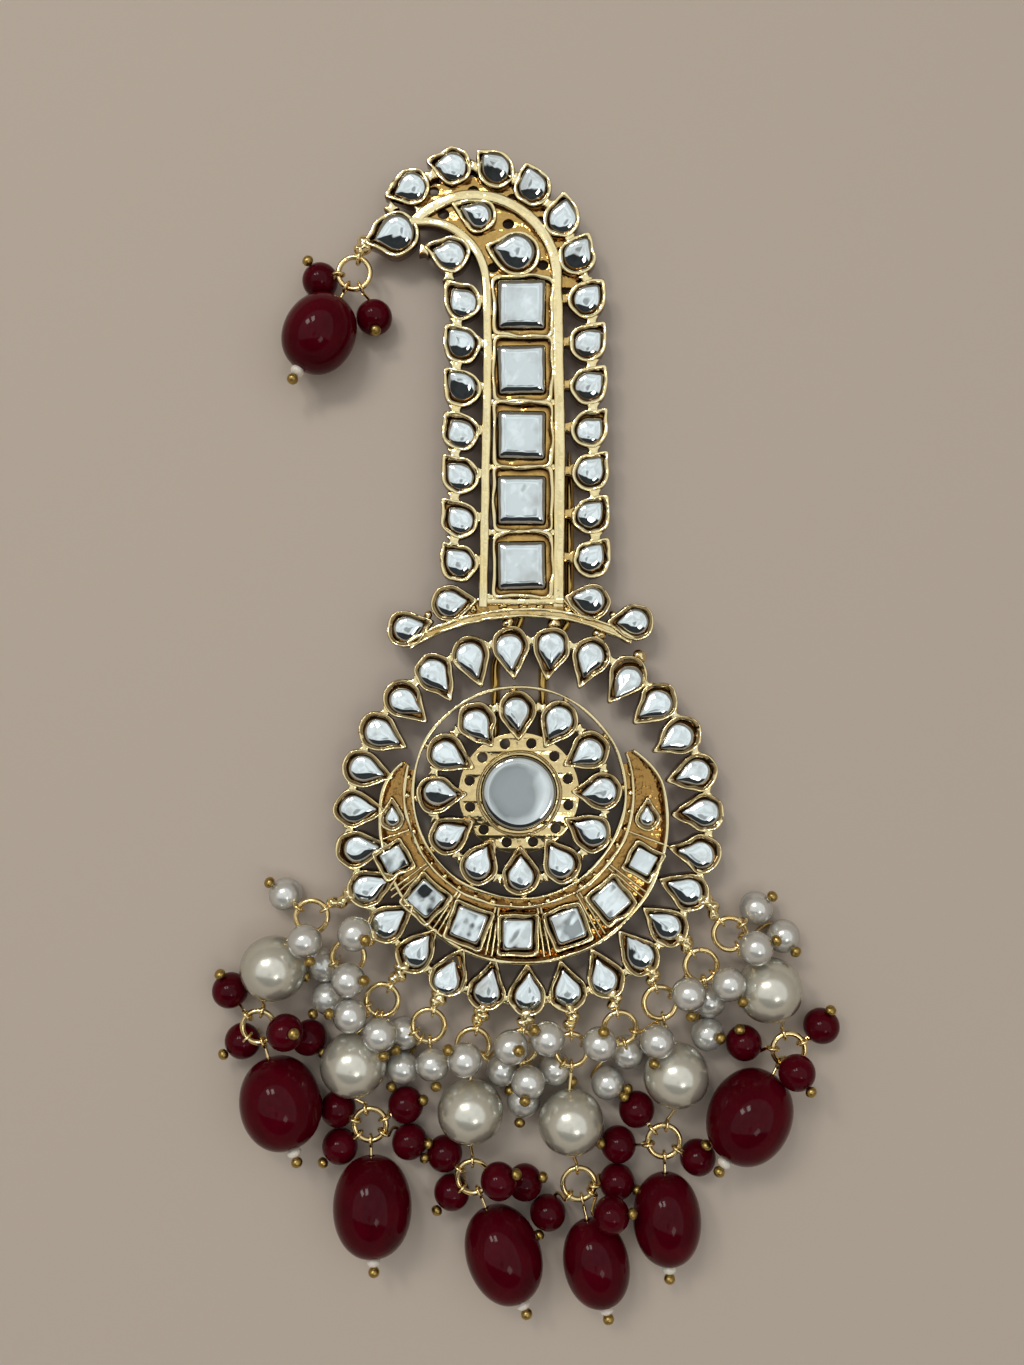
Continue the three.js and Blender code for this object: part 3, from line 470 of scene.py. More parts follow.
def foiledGlass(name, look):
    # clear glass over silver foil: a bright, slightly wavy mirror that turns grey brown at its girdle, a
    # painted shade of the dark setting wall seen through the glass edge
    material, tree, shader, place, noises = newMaterial(name, look, dict(clouds=3.0, waves=1.0))
    edge = addNode(tree, "Attribute", attribute_name="edge").outputs["Fac"]
    patches = addNode(tree, "MapRange", {"Value": noises["clouds"], "From Min": 0.52, "From Max": 0.8})
    colour = srgb(look["foil"])
    # the rim colour, mixed in by the edge attribute, is painted shade at the girdle
    for share, layer in ((patches.outputs["Result"], "tarnish"), (edge, "rim")):
        colour = addNode(tree, "Mix", {0: share, 6: colour, 7: srgb(look[layer])},
                         data_type="RGBA").outputs[2]
    rough = addNode(tree, "MapRange", {"Value": edge, "To Min": look["smooth"],
                                       "To Max": look["dull"]}).outputs["Result"]
    bump = addNode(tree, "Bump", {"Height": noises["waves"], "Distance": look["waveDepth"] * mm,
                                  "Strength": 1.0}).outputs["Normal"]
    setInputs(tree, shader, {"Metallic": 1.0, "Base Color": colour, "Roughness": rough, "Normal": bump,
                             "Coat Weight": 1.0, "Coat Roughness": 0.02})
    return material


def pearlCoat(name, look):
    # pearl essence on a glass bead: a satin ivory body with a clear skin, greyer at grazing angles, which is
    # painted shade at the pearl's rim
    material, tree, shader, place, noises = newMaterial(name, look, dict(clouds=3.0, skin=2.0))
    grazingShade = addNode(tree, "LayerWeight", {"Blend": 0.42}).outputs["Facing"]
    colour = srgb(look["body"])
    for share, layer in ((noises["clouds"], "cloud"), (grazingShade, "edge")):
        colour = addNode(tree, "Mix", {0: share, 6: colour, 7: srgb(look[layer])},
                         data_type="RGBA").outputs[2]
    bump = addNode(tree, "Bump", {"Height": noises["skin"], "Distance": look["skinDepth"] * mm,
                                  "Strength": 1.0}).outputs["Normal"]
    setInputs(tree, shader, {"Metallic": 0.5, "Roughness": look["rough"], "Base Color": colour,
                             "Normal": bump, "Coat Weight": 1.0, "Coat Roughness": 0.06, "Coat IOR": 1.6})
    return material


def maroonGlass(name, look):
    # tumbled opaque glass: almost black red with slow lighter swirls under a wet polish
    material, tree, shader, place, noises = newMaterial(name, look, dict(swirl=3.0, dents=1.0))
    noises["swirl"].node.inputs["Distortion"].default_value = look["distortion"]
    colour = addNode(tree, "Mix", {0: noises["swirl"], 6: srgb(look["dark"]), 7: srgb(look["light"])},
                     data_type="RGBA").outputs[2]
    bump = addNode(tree, "Bump", {"Height": noises["dents"], "Distance": look["dentDepth"] * mm,
                                  "Strength": 1.0}).outputs["Normal"]
    setInputs(tree, shader, {"Roughness": 0.08, "IOR": 1.5, "Specular IOR Level": 0.11, "Base Color": colour,
                             "Normal": bump})
    return material


def seedBeadGlass(name, look):
    # pressed opaque white glass: a soft, slightly see-through cream with a thin gloss
    material, tree, shader, place, noises = newMaterial(name, look, dict(clouds=2.0))
    colour = addNode(tree, "Mix", {0: noises["clouds"], 6: srgb(look["body"]), 7: srgb(look["cloud"])},
                     data_type="RGBA").outputs[2]
    setInputs(tree, shader, {"Roughness": 0.25, "Coat Weight": 0.6, "Subsurface Weight": 0.3,
                             "Subsurface Scale": 0.0006, "Base Color": colour})
    return material


# in each gold below, the slope, recess and wall colours are painted shade: darker lower down, in hollows and
# on walls, so the wire and the pin balls darken towards the table
castGold = goldPlating("castGold", dict(
    light="#fff4c8", warm="#fbe3a0", slope="#d6b269", recessShade="#9c6f3a", wall="#643f16",
    levels=(3.3, 4.5, 5.1), clouds=4.0, smears=1.4, smooth=0.04, dull=0.14, ripple=1.2, rippleDepth=0.24,
    worn=0.3))
wireGold = goldPlating("wireGold", dict(
    light="#fbe9b4", warm="#e2c27a", slope="#d9b76c", recessShade="#b8923f", wall="#b8923f",
    levels=(0.0, 2.0, 4.0), clouds=2.5, smears=1.0, smooth=0.1, dull=0.25, ripple=1.5, rippleDepth=0.006,
    worn=1.0))
ballBrass = goldPlating("ballBrass", dict(
    light="#cdb066", warm="#8b7440", slope="#a98f50", recessShade="#8b7440", wall="#8b7440",
    levels=(0.0, 1.0, 2.0), clouds=0.5, smears=0.4, smooth=0.22, dull=0.42, ripple=0.35, rippleDepth=0.04,
    worn=1.0))
# the rim colours below are painted shade at the stones' girdles
mirrorGlass = foiledGlass("foiledGlass", dict(
    foil="#effafb", tarnish="#cdd1cc", rim="#4f4530", smooth=0.01, dull=0.2, clouds=3.5, waves=2.4,
    waveDepth=0.045))
tableGlass = foiledGlass("tableGlass", dict(
    foil="#eef8f9", tarnish="#d3d6d1", rim="#5d533a", smooth=0.01, dull=0.15, clouds=9.0, waves=7.0,
    waveDepth=0.05))
# the edge colours below are painted shade at the pearls' rims
ivoryPearl = pearlCoat("ivoryPearl", dict(
    body="#e8e8dc", cloud="#d5d2c1", edge="#757260", rough=0.22, clouds=5.0, skin=1.2, skinDepth=0.01))
whitePearl = pearlCoat("whitePearl", dict(
    body="#ecefec", cloud="#dad9d1", edge="#7d786f", rough=0.2, clouds=3.0, skin=0.8, skinDepth=0.01))
maroonBead = maroonGlass("maroonGlass", dict(
    dark="#2f0007", light="#5a0416", swirl=7.0, distortion=1.2, dents=4.0, dentDepth=0.06))
seedGlass = seedBeadGlass("seedGlass", dict(body="#f3efe6", cloud="#ddd6c8", clouds=0.8))
print("materials made")


# The casting, in four pieces that share these heights

casting = dict(back=3.0, wall=3.2, shelf=3.7, floor=4.1, web=4.2, lump=4.3, thin=5.0, ring=5.2, rail=5.25,
               rim=5.35)
plumeRim = rimRows(casting["back"], casting["rim"], casting["floor"], 0.52, 0.14, 0.22)
fineRim = rimRows(casting["back"], casting["rim"], casting["floor"], 0.36, 0.36, 0.3)
tallRim = rimRows(casting["back"], casting["rim"] + 0.1, casting["floor"], 0.4, 0.28, 0.3)
cellRim = rimRows(casting["back"], casting["rim"] - 0.05, casting["floor"] + 0.1, 0.54, 0.08, 0.2)
cabochon = dict(rows=cabochonRows, inset=0.62, base=4.45, girdle=0.12, height=0.7, lean=0.0, tilt=2.4,
                waves=0.026, tip=0.75)
bevelled = dict(rows=tableRows, inset=0.6, base=4.4, girdle=0.15, height=0.6, lean=0.0, tilt=2.4, waves=0.03)


def petal(shells, place, size, rows, look, seed):
    # a drop-shaped setting and its stone, which is rounder than the setting and sits a little askew
    random = np.random.default_rng(seed)
    spot = np.array(place, float) + np.append(random.normal(0, 0.07, 2), random.normal(0, 4))
    roundRadius, tip = size
    shells[0].append(cup(pearLoop(roundRadius, tip, 52), roundRadius, place, rows, seed))
    loop = pearLoop(roundRadius, roundRadius + (tip - roundRadius) * look["tip"], 44, 3)
    shells[1].append(stone(loop, roundRadius, spot, look, seed))


outerRing = dict(
    count=27, centre=(1.5, -4.2), radius=26.5, first=96, turn=-1, petal=(2.98, 5.45), seed=10, jointOut=0.5,
    joint=(2.3, 1.5, casting["back"], 5.2), jointSeed=300, lump=(29.9, 0, casting["lump"], 1.0),
    lumpsWithin=45, look=cabochon | dict(inset=0.66, lean=-5.5, tilt=4.0, tip=0.92))
wheelRing = dict(
    count=12, centre=(0, 0), radius=12.55, first=91, turn=1, petal=(3.0, 4.9), seed=60, jointOut=0.6,
    joint=(2.2, 1.5, casting["back"], 5.1), jointSeed=340, lump=(15.6, 2, 4.5, 0.6),
    lumpsWithin=360, look=cabochon | dict(inset=0.68, lean=-4.0, tilt=4.0, tip=0.98))
medallion = dict(
    bezel=6.5, ring=15.95, ringWidth=0.5, webRadius=9.0, webTop=4.85, holeReach=7.65, holeRadius=0.85,
    bezelRows=((1.5, 3.0, 0), (0.1, 3.0, 0), (0.0, 3.2, 0), (0.0, 5.1, 0.5), (0.06, 5.4, 1), (0.2, 5.5, 1),
               (0.36, 5.42, 1), (0.46, 5.2, 0.5), (0.56, 4.2, 0), (2.0, 4.2, 0)))
roundStone = bevelled | dict(rows=roundRows, base=4.5, height=1.0, girdle=0.25, lean=1.5, tilt=0.2,
                             waves=0.003)


def petalRing(shells, ring):
    # petals at even bearings with their tips inwards, a pad of solder halfway between neighbours, and
    # lumps of solder on the rim, only near the top of the outer ring
    step = ring["turn"] * 360 / ring["count"]
    reach, aside, height, size = ring["lump"]
    for number in range(ring["count"]):
        bearing = ring["first"] + number * step
        between = bearing + step / 2
        spot = polar(ring["centre"], ring["radius"], bearing)
        petal(shells, (*spot, bearing + 180), ring["petal"], fineRim, ring["look"], ring["seed"] + number)
        joint = polar(ring["centre"], ring["radius"] + ring["jointOut"], between)
        shells[0].append(pad((*joint, between), *ring["joint"], ring["jointSeed"] + number, 0.55))
        if abs(bearing - 90) < ring["lumpsWithin"]:
            lump = (*polar(ring["centre"], reach, bearing + aside), height)
            shells[0].append(nugget(lump, size, number))


def medallionShells():
    # two rings of petals, a thin ring, a disc pierced between the wheel's petals, and the round bezel
    shells = [], []
    gold = shells[0]
    petalRing(shells, outerRing)
    petalRing(shells, wheelRing)
    gold.append(rail(arcRoute((0, 0), medallion["ring"], 0, 358), medallion["ringWidth"], casting["wall"],
                     casting["ring"], 7, closed=True, waver=0.1))
    bearings = wheelRing["first"] + (np.arange(wheelRing["count"]) + 0.5) * 360 / wheelRing["count"]
    holes = [circleLoop(medallion["holeRadius"], 20) + polar((0, 0), medallion["holeReach"], bearing)
             for bearing in bearings]
    gold.append(plate(circleLoop(medallion["webRadius"], 96), holes, casting["back"], medallion["webTop"]))
    bezel = circleLoop(medallion["bezel"], 96)
    gold.append(cup(bezel, medallion["bezel"], (0, 0, 0), medallion["bezelRows"], 90, 0.07))
    return shells


crescent = dict(centre=(0.7, -4.0), radius=21.6, start=172, end=372, inner=17.2, innerStart=166, innerEnd=380,
                hornLeft=(-17.4, 4.5), hornRight=(17.2, 6.3), bow=3.2, band=(168, 375), bandWidth=1.3,
                lumps=22, lumpFirst=172, lumpStep=9.4, step=20.5, reach=21.3, bottom=-90.4,
                sides=(5.3, 6.3, 6.5, 6.5, 6.5, 6.3, 5.3), walls=(9.4, 9.2),
                petals=((-19.1, -3.9, 90), (19.3, -3.9, 90)), petal=(1.95, 3.7), hornStone=(1.95, 3.3))
squareStone = bevelled | dict(inset=0.66, height=0.7)
hornStone = cabochon | dict(inset=0.6)


def hornRoute(bearing, tip, sign):
    # from the end of the crescent's outer edge, along its tangent, and over to the horn's tip
    end = polar(crescent["centre"], crescent["radius"], bearing)
    tangent = np.array([-math.sin(math.radians(bearing)), math.cos(math.radians(bearing))]) * sign
    return curve(end, end + tangent * crescent["bow"], tip)


def crescentShells():
    # a sheet between two arcs that meet in horns, with rails on its edges, framed squares with thin walls
    # between them, a row of small lumps, and a petal in each horn
    gold, gems = shells = [], []
    back, ring = casting["back"], crescent["inner"]
    outer = arcRoute(crescent["centre"], crescent["radius"], crescent["start"], crescent["end"])
    left = hornRoute(crescent["start"], crescent["hornLeft"], -1)
    right = hornRoute(crescent["end"], crescent["hornRight"], 1)
    edge = np.vstack([left[::-1][:-1], outer, right[1:]])
    inner = arcRoute((0, 0), ring, crescent["innerEnd"], crescent["innerStart"])
    gold.append(plate(np.vstack([edge, inner]), [], back, casting["shelf"]))
    gold.append(rail(edge, 0.6, back, casting["rail"], 21, waver=0.1))
    gold.append(rail(inner, 0.5, back, casting["ring"], 22, waver=0.13))
    band = arcRoute((0, 0), (medallion["ring"] + ring) / 2, *crescent["band"])
    gold.append(rail(band, crescent["bandWidth"], back, 3.75, 23, waver=0.1))
    for number in range(crescent["lumps"]):
        spot = polar((0, 0), ring - 0.35, crescent["lumpFirst"] + number * crescent["lumpStep"])
        gold.append(nugget((*spot, 4.75), 0.38 + 0.12 * math.sin(number * 2.3), number))
    for number, side in enumerate(crescent["sides"]):
        bearing = crescent["bottom"] + (number - 3) * crescent["step"]
        place = (*polar((0, 0), crescent["reach"], bearing), bearing)
        gold.append(cup(squareLoop(side, side, 56, 1), side / 2, place, tallRim, 120 + number, 0.1))
        gems.append(stone(squareLoop(side, side), side / 2, place, squareStone, 130 + number))
        for turn in (-1, 1):
            inside = polar((0, 0), ring + 0.3, bearing + turn * crescent["walls"][0])
            outside = polar((0, 0), crescent["reach"] + side * 0.55, bearing + turn * crescent["walls"][1])
            gold.append(rail(lineRoute(inside, outside), 0.36, casting["wall"], casting["thin"],
                             140 + number * 2 + turn, waver=0.05))
    for number, place in enumerate(crescent["petals"]):
        width = crescent["petal"][0]
        gold.append(cup(pearLoop(*crescent["petal"]), width, place, fineRim, 160 + number, 0.06))
        gems.append(stone(pearLoop(*crescent["hornStone"], 40, 3), width, place, hornStone, 165 + number))
    return shells


collar = dict(centre=(0.9, -6.15), radius=33.3, start=61, end=121.5, petal=(2.85, 4.6), webArc=(75, 107),
              petals=((10.95, 28.65, 169), (17.5, 25.65, 180), (-10.5, 28.5, 6), (-17.1, 24.6, 15)),
              web=((-9.0, 26.2), (-5.6, 29.6), (6.2, 29.6), (9.6, 25.9)),
              bars=((0.45, 0.5, 5.25, 31), (-0.5, 0.45, 5.3, 35), (0.0, 1.3, 4.7, 38)),
              lumps=((7.4, 27.5), (14.3, 26.7), (-6.9, 27.7), (-13.7, 26.7), (3.2, 28.0), (-2.4, 28.2),
                     (0.6, 28.0)))
collarStone = cabochon | dict(lean=4.0)


def collarShells():
    # two thin rails with a wide one between them on an arc, a web up to the plume, and four petals
    shells = [], []
    gold = shells[0]
    for offset, width, high, seed in collar["bars"]:
        route = arcRoute(collar["centre"], collar["radius"] + offset, collar["start"], collar["end"])
        gold.append(rail(route, width, casting["back"], high, seed, waver=0.13))
    web = collar["web"]
    arc = arcRoute(collar["centre"], collar["radius"], *collar["webArc"], 1.5)
    gold.append(plate(np.vstack([arc, web[1:3]]), [], casting["back"], casting["web"]))
    for start, end in ((web[0], web[1]), (web[3], web[2])):
        gold.append(rail(lineRoute(start, end), 0.4, casting["wall"], casting["thin"], 41, waver=0.1))
    for number, place in enumerate(collar["petals"]):
        petal(shells, place, collar["petal"], fineRim, collarStone, 170 + number)
    for number, spot in enumerate(collar["lumps"]):
        gold.append(nugget((*spot, casting["lump"]), 0.7, 40 + number))
    return shells


plume = dict(
    left=((-5.4, 28.0), (-4.7, 66.0), (-4.85, 76.0)), leftWidth=1.45, leftArc=(-14.55, 76.35), leftRadius=9.6,
    leftEnd=101, right=((5.9, 28.0), (6.15, 52.0), (5.75, 74.5)), rightWidth=1.8, rightArc=(-6.75, 77.25),
    rightRadius=12.5, rightStart=-8, rightEnd=136, cellX=0.6, cellWidth=9.3, cellTop=73.5, pitch=9.8,
    roof=77.75, squares=5, squareStone=7.4, petal=(2.9, 4.35), count=7, curlLeans=(5, 12, 4, 23, 19, 15, 13),
    curlPetals=((-10.2, 81.0, 164), (-16.2, 91.05, 200), (-9.9, 94.2, 170), (-3.45, 93.6, 135),
                (2.1, 90.9, 106), (6.45, 86.25, 86), (8.7, 80.55, 64)),
    bigPears=(("plume_pear_tip", -18.45, 84.0, 193, 3.5, 5.3),
              ("plume_pear_inner", -5.95, 86.6, 155, 2.7, 4.7),
              ("plume_pear_big", -0.3, 81.0, 166, 3.5, 5.3)),
    holes=((-11.4, 87.3), (-1.6, 85.8), (-12.9, 90.7), (-6.9, 90.8), (-1.0, 89.6), (3.2, 86.2), (6.3, 81.6),
           (3.6, 79.6), (-3.9, 79.2)),
    pads=((-10.5, 77.8), (10.0, 77.4), (-14.2, 81.7), (-13.2, 92.9), (-6.7, 94.2), (-0.6, 92.4), (4.4, 88.6),
          (7.7, 83.4), (-19.2, 87.9), (-14.9, 87.4)))
leftPetals = dict(x=-8.4, top=73.8, lean=-0.0155, pitch=6.55, bearing=129, neck=-0.8, tie=5.15, rail=-5.2,
                  seed=500, leans=(4, 16, 20, 4, 3, 3, 5))
rightPetals = dict(x=10.2, top=74.1, lean=0.02, pitch=6.5, bearing=50, neck=0.5, tie=4.6, rail=6.4,
                   seed=520, leans=(12, 4, 9, 3, 4, 8, 7))
curlStone = cabochon | dict(inset=0.6)
bigStone = cabochon | dict(inset=0.58, lean=13.0, height=0.95, base=4.5)
ladderStone = bevelled | dict(rows=ladderRows, inset=0.0, base=4.25, height=0.95, tilt=1.0, girdle=0.3,
                              waves=0.022)


def plumeShells():
    # two rails that run up and bend over in arcs, the ladder of cells between them, petals outside them,
    # and a pierced web in the curl
    shells = [], []
    gold = shells[0]
    back, top = casting["back"], casting["rail"]
    leftArc = arcRoute(plume["leftArc"], plume["leftRadius"], 2, plume["leftEnd"])
    rightArc = arcRoute(plume["rightArc"], plume["rightRadius"], plume["rightStart"], plume["rightEnd"])
    for side, arc, seed in (("left", leftArc, 51), ("right", rightArc, 55)):
        route = np.vstack([polyRoute(plume[side])[:-1], arc])
        gold.append(rail(route, plume[side + "Width"], back, top, seed))
    foot = lineRoute(np.array(plume["left"][0]) + (-0.6, 0.75), np.array(plume["right"][0]) + (0.7, 0.75))
    gold.append(rail(foot, 1.0, back, top, 58, waver=0.1))
    for number in range(plume["squares"]):
        gold.extend(ladderCell(number))
    for number, place in enumerate(plume["curlPetals"]):
        look = curlStone | dict(lean=plume["curlLeans"][number])
        petal(shells, place, plume["petal"], plumeRim, look, 220 + number)
    sideColumn(shells, leftPetals)
    sideColumn(shells, rightPetals)
    for number, (name, x, y, bearing, roundRadius, tip) in enumerate(plume["bigPears"]):
        loop = pearLoop(roundRadius, tip, 64)
        gold.append(cup(loop, roundRadius, (x, y, bearing), plumeRim, 260 + number, 0.1))
    gold.append(plate(*curlOutline(), back, casting["web"]))
    for number, spot in enumerate(plume["pads"]):
        gold.append(pad((*spot, 40 * number), 2.2, 1.6, back, 5.15, 280 + number, 0.6))
    return shells


def ladderCell(number):
    # a frame of the ladder, whose walls run into its neighbours' and into the rails
    y, half = plume["cellTop"] - plume["pitch"] * number, plume["pitch"] / 2
    low, high = y - half - 0.25, min(y + half, plume["roof"]) + 0.25
    loop = squareLoop(plume["cellWidth"], high - low, 96, 5)
    place = (plume["cellX"], (low + high) / 2, 0)
    cell = cup(loop, (high - low) / 2, place, cellRim, 200 + number, 0.12, 0.07)
    bridges = [pad((x, low + 0.2, 90), 1.9, 1.7, casting["back"], 5.1, 400 + 2 * number + side, 0.5)
               for side, x in enumerate((plume["cellX"] - 4.7, plume["cellX"] + 4.7))]
    return [cell, *bridges]


def sideColumn(shells, column):
    # petals one pitch apart on a leaning line, each tied to its rail and to the petal above
    for number in range(plume["count"]):
        drop = column["pitch"] * number
        x, y = column["x"] + column["lean"] * drop, column["top"] - drop
        seed = column["seed"] + number
        look = curlStone | dict(lean=column["leans"][number])
        petal(shells, (x, y, column["bearing"]), plume["petal"], plumeRim, look, seed)
        edge = x + math.copysign(plume["petal"][0] - 0.2, column["rail"] - x)
        tie = ((edge + column["rail"]) / 2, y + 0.4, 90)
        shells[0].append(pad(tie, 2.9, abs(edge - column["rail"]) + 0.9, casting["back"], column["tie"],
                             seed + 7, 0.5))
        if number:
            neck = (x + column["neck"], y + column["pitch"] / 2, 0)
            shells[0].append(pad(neck, 2.9, 1.9, casting["back"], casting["rail"], seed + 9, 0.5))


def curlOutline():
    # the web between the rails and under the outer petals, with its round holes
    outer = arcRoute(plume["rightArc"], 15.6, -4, 126, 1.0)
    inner = arcRoute(plume["leftArc"], plume["leftRadius"], 94, 6, 1.0)
    holes = [circleLoop(0.95, 18) * np.array([1.0, 0.85]) + np.array(spot) for spot in plume["holes"]]
    return np.vstack([outer, inner]), holes


def looseStones():
    # the stones that are nodes of their own, in the middle of their settings
    centre = stone(circleLoop(medallion["bezel"], 96), medallion["bezel"], (0, 0, 0), roundStone, 301)
    makePiece("roundStone", [centre], [tableGlass], ["centre_stone"])
    side = plume["squareStone"]
    for number in range(plume["squares"]):
        y = plume["cellTop"] - 0.1 - plume["pitch"] * number
        place = (plume["cellX"] - 0.2, y, 1.2 * math.sin(number * 2))
        look = ladderStone | dict(lean=5.5 - 1.2 * number)
        gem = stone(squareLoop(side, side, 96, 3), side / 2, place, look, 310 + number)
        makePiece(f"squareStone{number + 1}", [gem], [mirrorGlass], [f"plume_square_{number + 1}"])
    for number, (name, x, y, bearing, roundRadius, tip) in enumerate(plume["bigPears"]):
        loop = pearLoop(roundRadius, tip * 0.93, 56, 3)
        gem = stone(loop, roundRadius, (x, y, bearing), bigStone, 320 + number)
        makePiece("pearStone" + name.split("_")[-1].capitalize(), [gem], [mirrorGlass], [name])


for name, shells in (("plume", plumeShells()), ("collar", collarShells()), ("medallion", medallionShells()),
                     ("crescent", crescentShells())):
    makePiece(name + "Casting", shells[0], [castGold], ["gold_frame"])
    makePiece(name + "Stones", shells[1], [mirrorGlass], ["gold_frame"])
looseStones()
print("casting and stones made")


# Wire work

link = dict(radius=2.4, wire=0.42, height=4.6, step=0.12)
eye = dict(radius=0.85, wire=0.25, gap=0.25)
bead = dict(bigPearl=5.0, bigPearlLength=9.8, smallPearl=2.6, smallMaroon=2.75, hole=0.42, bigHole=0.55,
            maroonHole=0.6, pinBall=0.86, pinWire=0.26)

# petal number: centre of the upper jump ring
upperRings = {10: (31.7, -21.2), 11: (27.4, -26.0), 12: (21.2, -31.6), 13: (15.2, -35.4), 14: (7.9, -38.7),
              15: (0.2, -38.2), 16: (-6.9, -37.9), 17: (-13.6, -35.0), 18: (-20.6, -31.2), 19: (-25.7, -24.6),
              20: (-31.2, -18.6)}
# petal number: big pearl, lower jump ring, big maroon bead and its width and length
strands = {
    10: dict(pearl=(37.6, -29.6), ring=(40.6, -38.6), drop=(34.4, -48.2), size=(12.2, 14.4)),
    12: dict(pearl=(23.6, -42.4), ring=(21.8, -52.4), drop=(22.2, -63.9), size=(10.3, 13.5)),
    14: dict(pearl=(7.8, -49.4), ring=(9.0, -58.8), drop=(11.6, -70.6), size=(9.9, 13.0)),
    16: dict(pearl=(-7.3, -47.8), ring=(-6.9, -57.8), drop=(-2.3, -69.0), size=(11.1, 14.4)),
    18: dict(pearl=(-24.9, -40.8), ring=(-22.4, -49.9), drop=(-21.9, -61.7), size=(11.8, 14.6)),
    20: dict(pearl=(-36.9, -26.4), ring=(-39.2, -35.2), drop=(-35.6, -46.2), size=(12.0, 13.8)),
}
# petal number: rows of a bead's centre, and of its pin's ball beside that centre as seen from above
smallPearls = {
    20: [(-35.5, -15.6, 2.7, -2.2, 2.0), (-31.6, -21.6, 8.4, 1.0, -2.6)],
    19: [(-29.6, -26.4, 2.7, -2.6, -1.4), (-25.2, -27.3, 8.4, 2.6, 0.4), (-29.0, -31.4, 2.7, -2.2, -2.2),
         (-24.2, -20.4, 8.7, 1.9, -0.4)],
    18: [(-20.6, -35.4, 8.2, 0.8, -2.7), (-25.0, -32.6, 8.0, -2.9, 0.6)],
    17: [(-17.5, -36.7, 2.7, -1.0, -1.9), (-17.7, -42.0, 2.7, -1.6, -2.6), (-13.0, -40.8, 4.9, 0.6, -3.0)],
    16: [(-8.0, -38.8, 9.1, -2.4, 1.8), (-2.5, -42.3, 2.7, 1.1, -3.0)],
    15: [(-1.2, -37.2, 8.4, 1.2, 0.4), (1.35, -43.0, 6.5, -0.5, -1.9), (0.7, -47.0, 2.7, -0.6, -3.0),
         (4.2, -35.9, 8.4, -2.0, 1.8)],
    14: [(5.5, -42.2, 2.7, 2.6, -1.6), (11.9, -36.7, 8.4, 0.4, 2.4)],
    13: [(13.5, -44.3, 2.7, 3.0, -0.6), (16.5, -39.6, 2.7, 2.4, 1.6), (20.4, -36.4, 8.2, -0.6, -3.0)],
    12: [(25.0, -29.4, 8.4, 0.2, -2.9)],
    11: [(28.9, -31.8, 2.7, 2.4, 1.2), (28.7, -36.9, 2.7, 1.5, 0.2), (31.0, -28.0, 8.0, 1.8, -2.2)],
    10: [(36.1, -17.7, 2.7, 2.2, 2.0), (34.9, -22.6, 8.4, 3.0, 1.2), (40.2, -22.0, 2.7, 1.4, -1.9)],
}
smallMaroons = {
    20: [(-43.9, -30.2, 2.8, -1.2, 2.8), (-42.0, -37.9, 2.8, -2.6, -1.6), (-34.5, -35.0, 8.4, 1.8, 0.6),
         (-31.9, -37.4, 2.8, 2.4, -1.8)],
    18: [(-27.5, -48.2, 2.8, -2.9, 0.8), (-27.2, -53.9, 2.8, -2.4, -2.0), (-17.2, -47.6, 2.8, 2.8, 1.2),
         (-16.6, -53.2, 2.8, 2.4, -2.0)],
    16: [(-11.3, -55.0, 2.8, -2.4, 2.0), (-10.2, -60.9, 2.8, -2.2, -2.2), (-3.0, -56.9, 8.4, 2.6, 1.6),
         (0.9, -59.4, 2.8, 2.7, 1.4)],
    14: [(4.4, -64.0, 2.8, -1.4, -2.8), (13.6, -61.9, 8.4, 3.0, 0.8), (14.9, -59.3, 2.8, 2.9, -0.6)],
    12: [(17.9, -48.3, 2.8, -2.0, 2.4), (15.1, -53.6, 2.8, -2.8, 0.8), (27.2, -55.6, 2.8, 1.0, 2.6)],
    10: [(34.2, -38.2, 2.8, -1.0, 2.6), (46.0, -35.6, 2.8, 1.0, 2.8), (41.0, -41.0, 8.2, 1.6, -2.2)],
}
tipStrand = dict(ring=(-24.8, 78.2), drop=(-29.9, 68.9), size=(10.7, 12.4), root=((-18.45, 84.0), 4.9, 193),
                 beads=[(-30.2, 77.7, 2.8, -1.6, 2.4), (-22.0, 72.1, 2.8, 0.4, -2.6)])


def ringSpot(ring, target):
    # the point of the ring's wire circle that faces the target: centre plus radius times the direction
    centre = np.array([*ring, link["height"]])
    reach = unit(np.array([target[0] - ring[0], target[1] - ring[1], 0.0]))
    return centre + link["radius"] * reach, reach


def jumpRing(ring, seed, material):
    # a circle of wire with its ends butted, which leaves a hairline step at the joint
    angles = np.linspace(0.03, fullTurn - 0.03, 44) + seed
    flat = np.array(ring) + link["radius"] * np.stack([np.cos(angles), np.sin(angles)], -1)
    path = raised(flat, link["height"] + link["step"] * (angles - seed) / fullTurn)
    return wire(path, link["wire"], sides=12, material=material)


def eyeLoop(spot, reach, material, size=1.0):
    # a bent eye: nearly a full circle, standing on edge across the ring's wire
    across = np.cross(reach, upwards)
    angles = np.linspace(eye["gap"], fullTurn - eye["gap"], 26)[:, None]
    path = spot + eye["radius"] * size * (np.cos(angles) * reach + np.sin(angles) * upwards)
    return wire(path, eye["wire"], across, 9, material=material)


def bentWire(start, middle, end):
    # a pin's wire on a quadratic curve through three handles, which lies in one plane
    normal = np.cross(middle - start, end - start)
    if np.linalg.norm(normal) < 1e-3:
        normal = np.cross(end - start, [0.3, 0.5, 1.0])
    return wire(curve(start, middle, end, 12), bead["pinWire"], normal, 8, material=1)


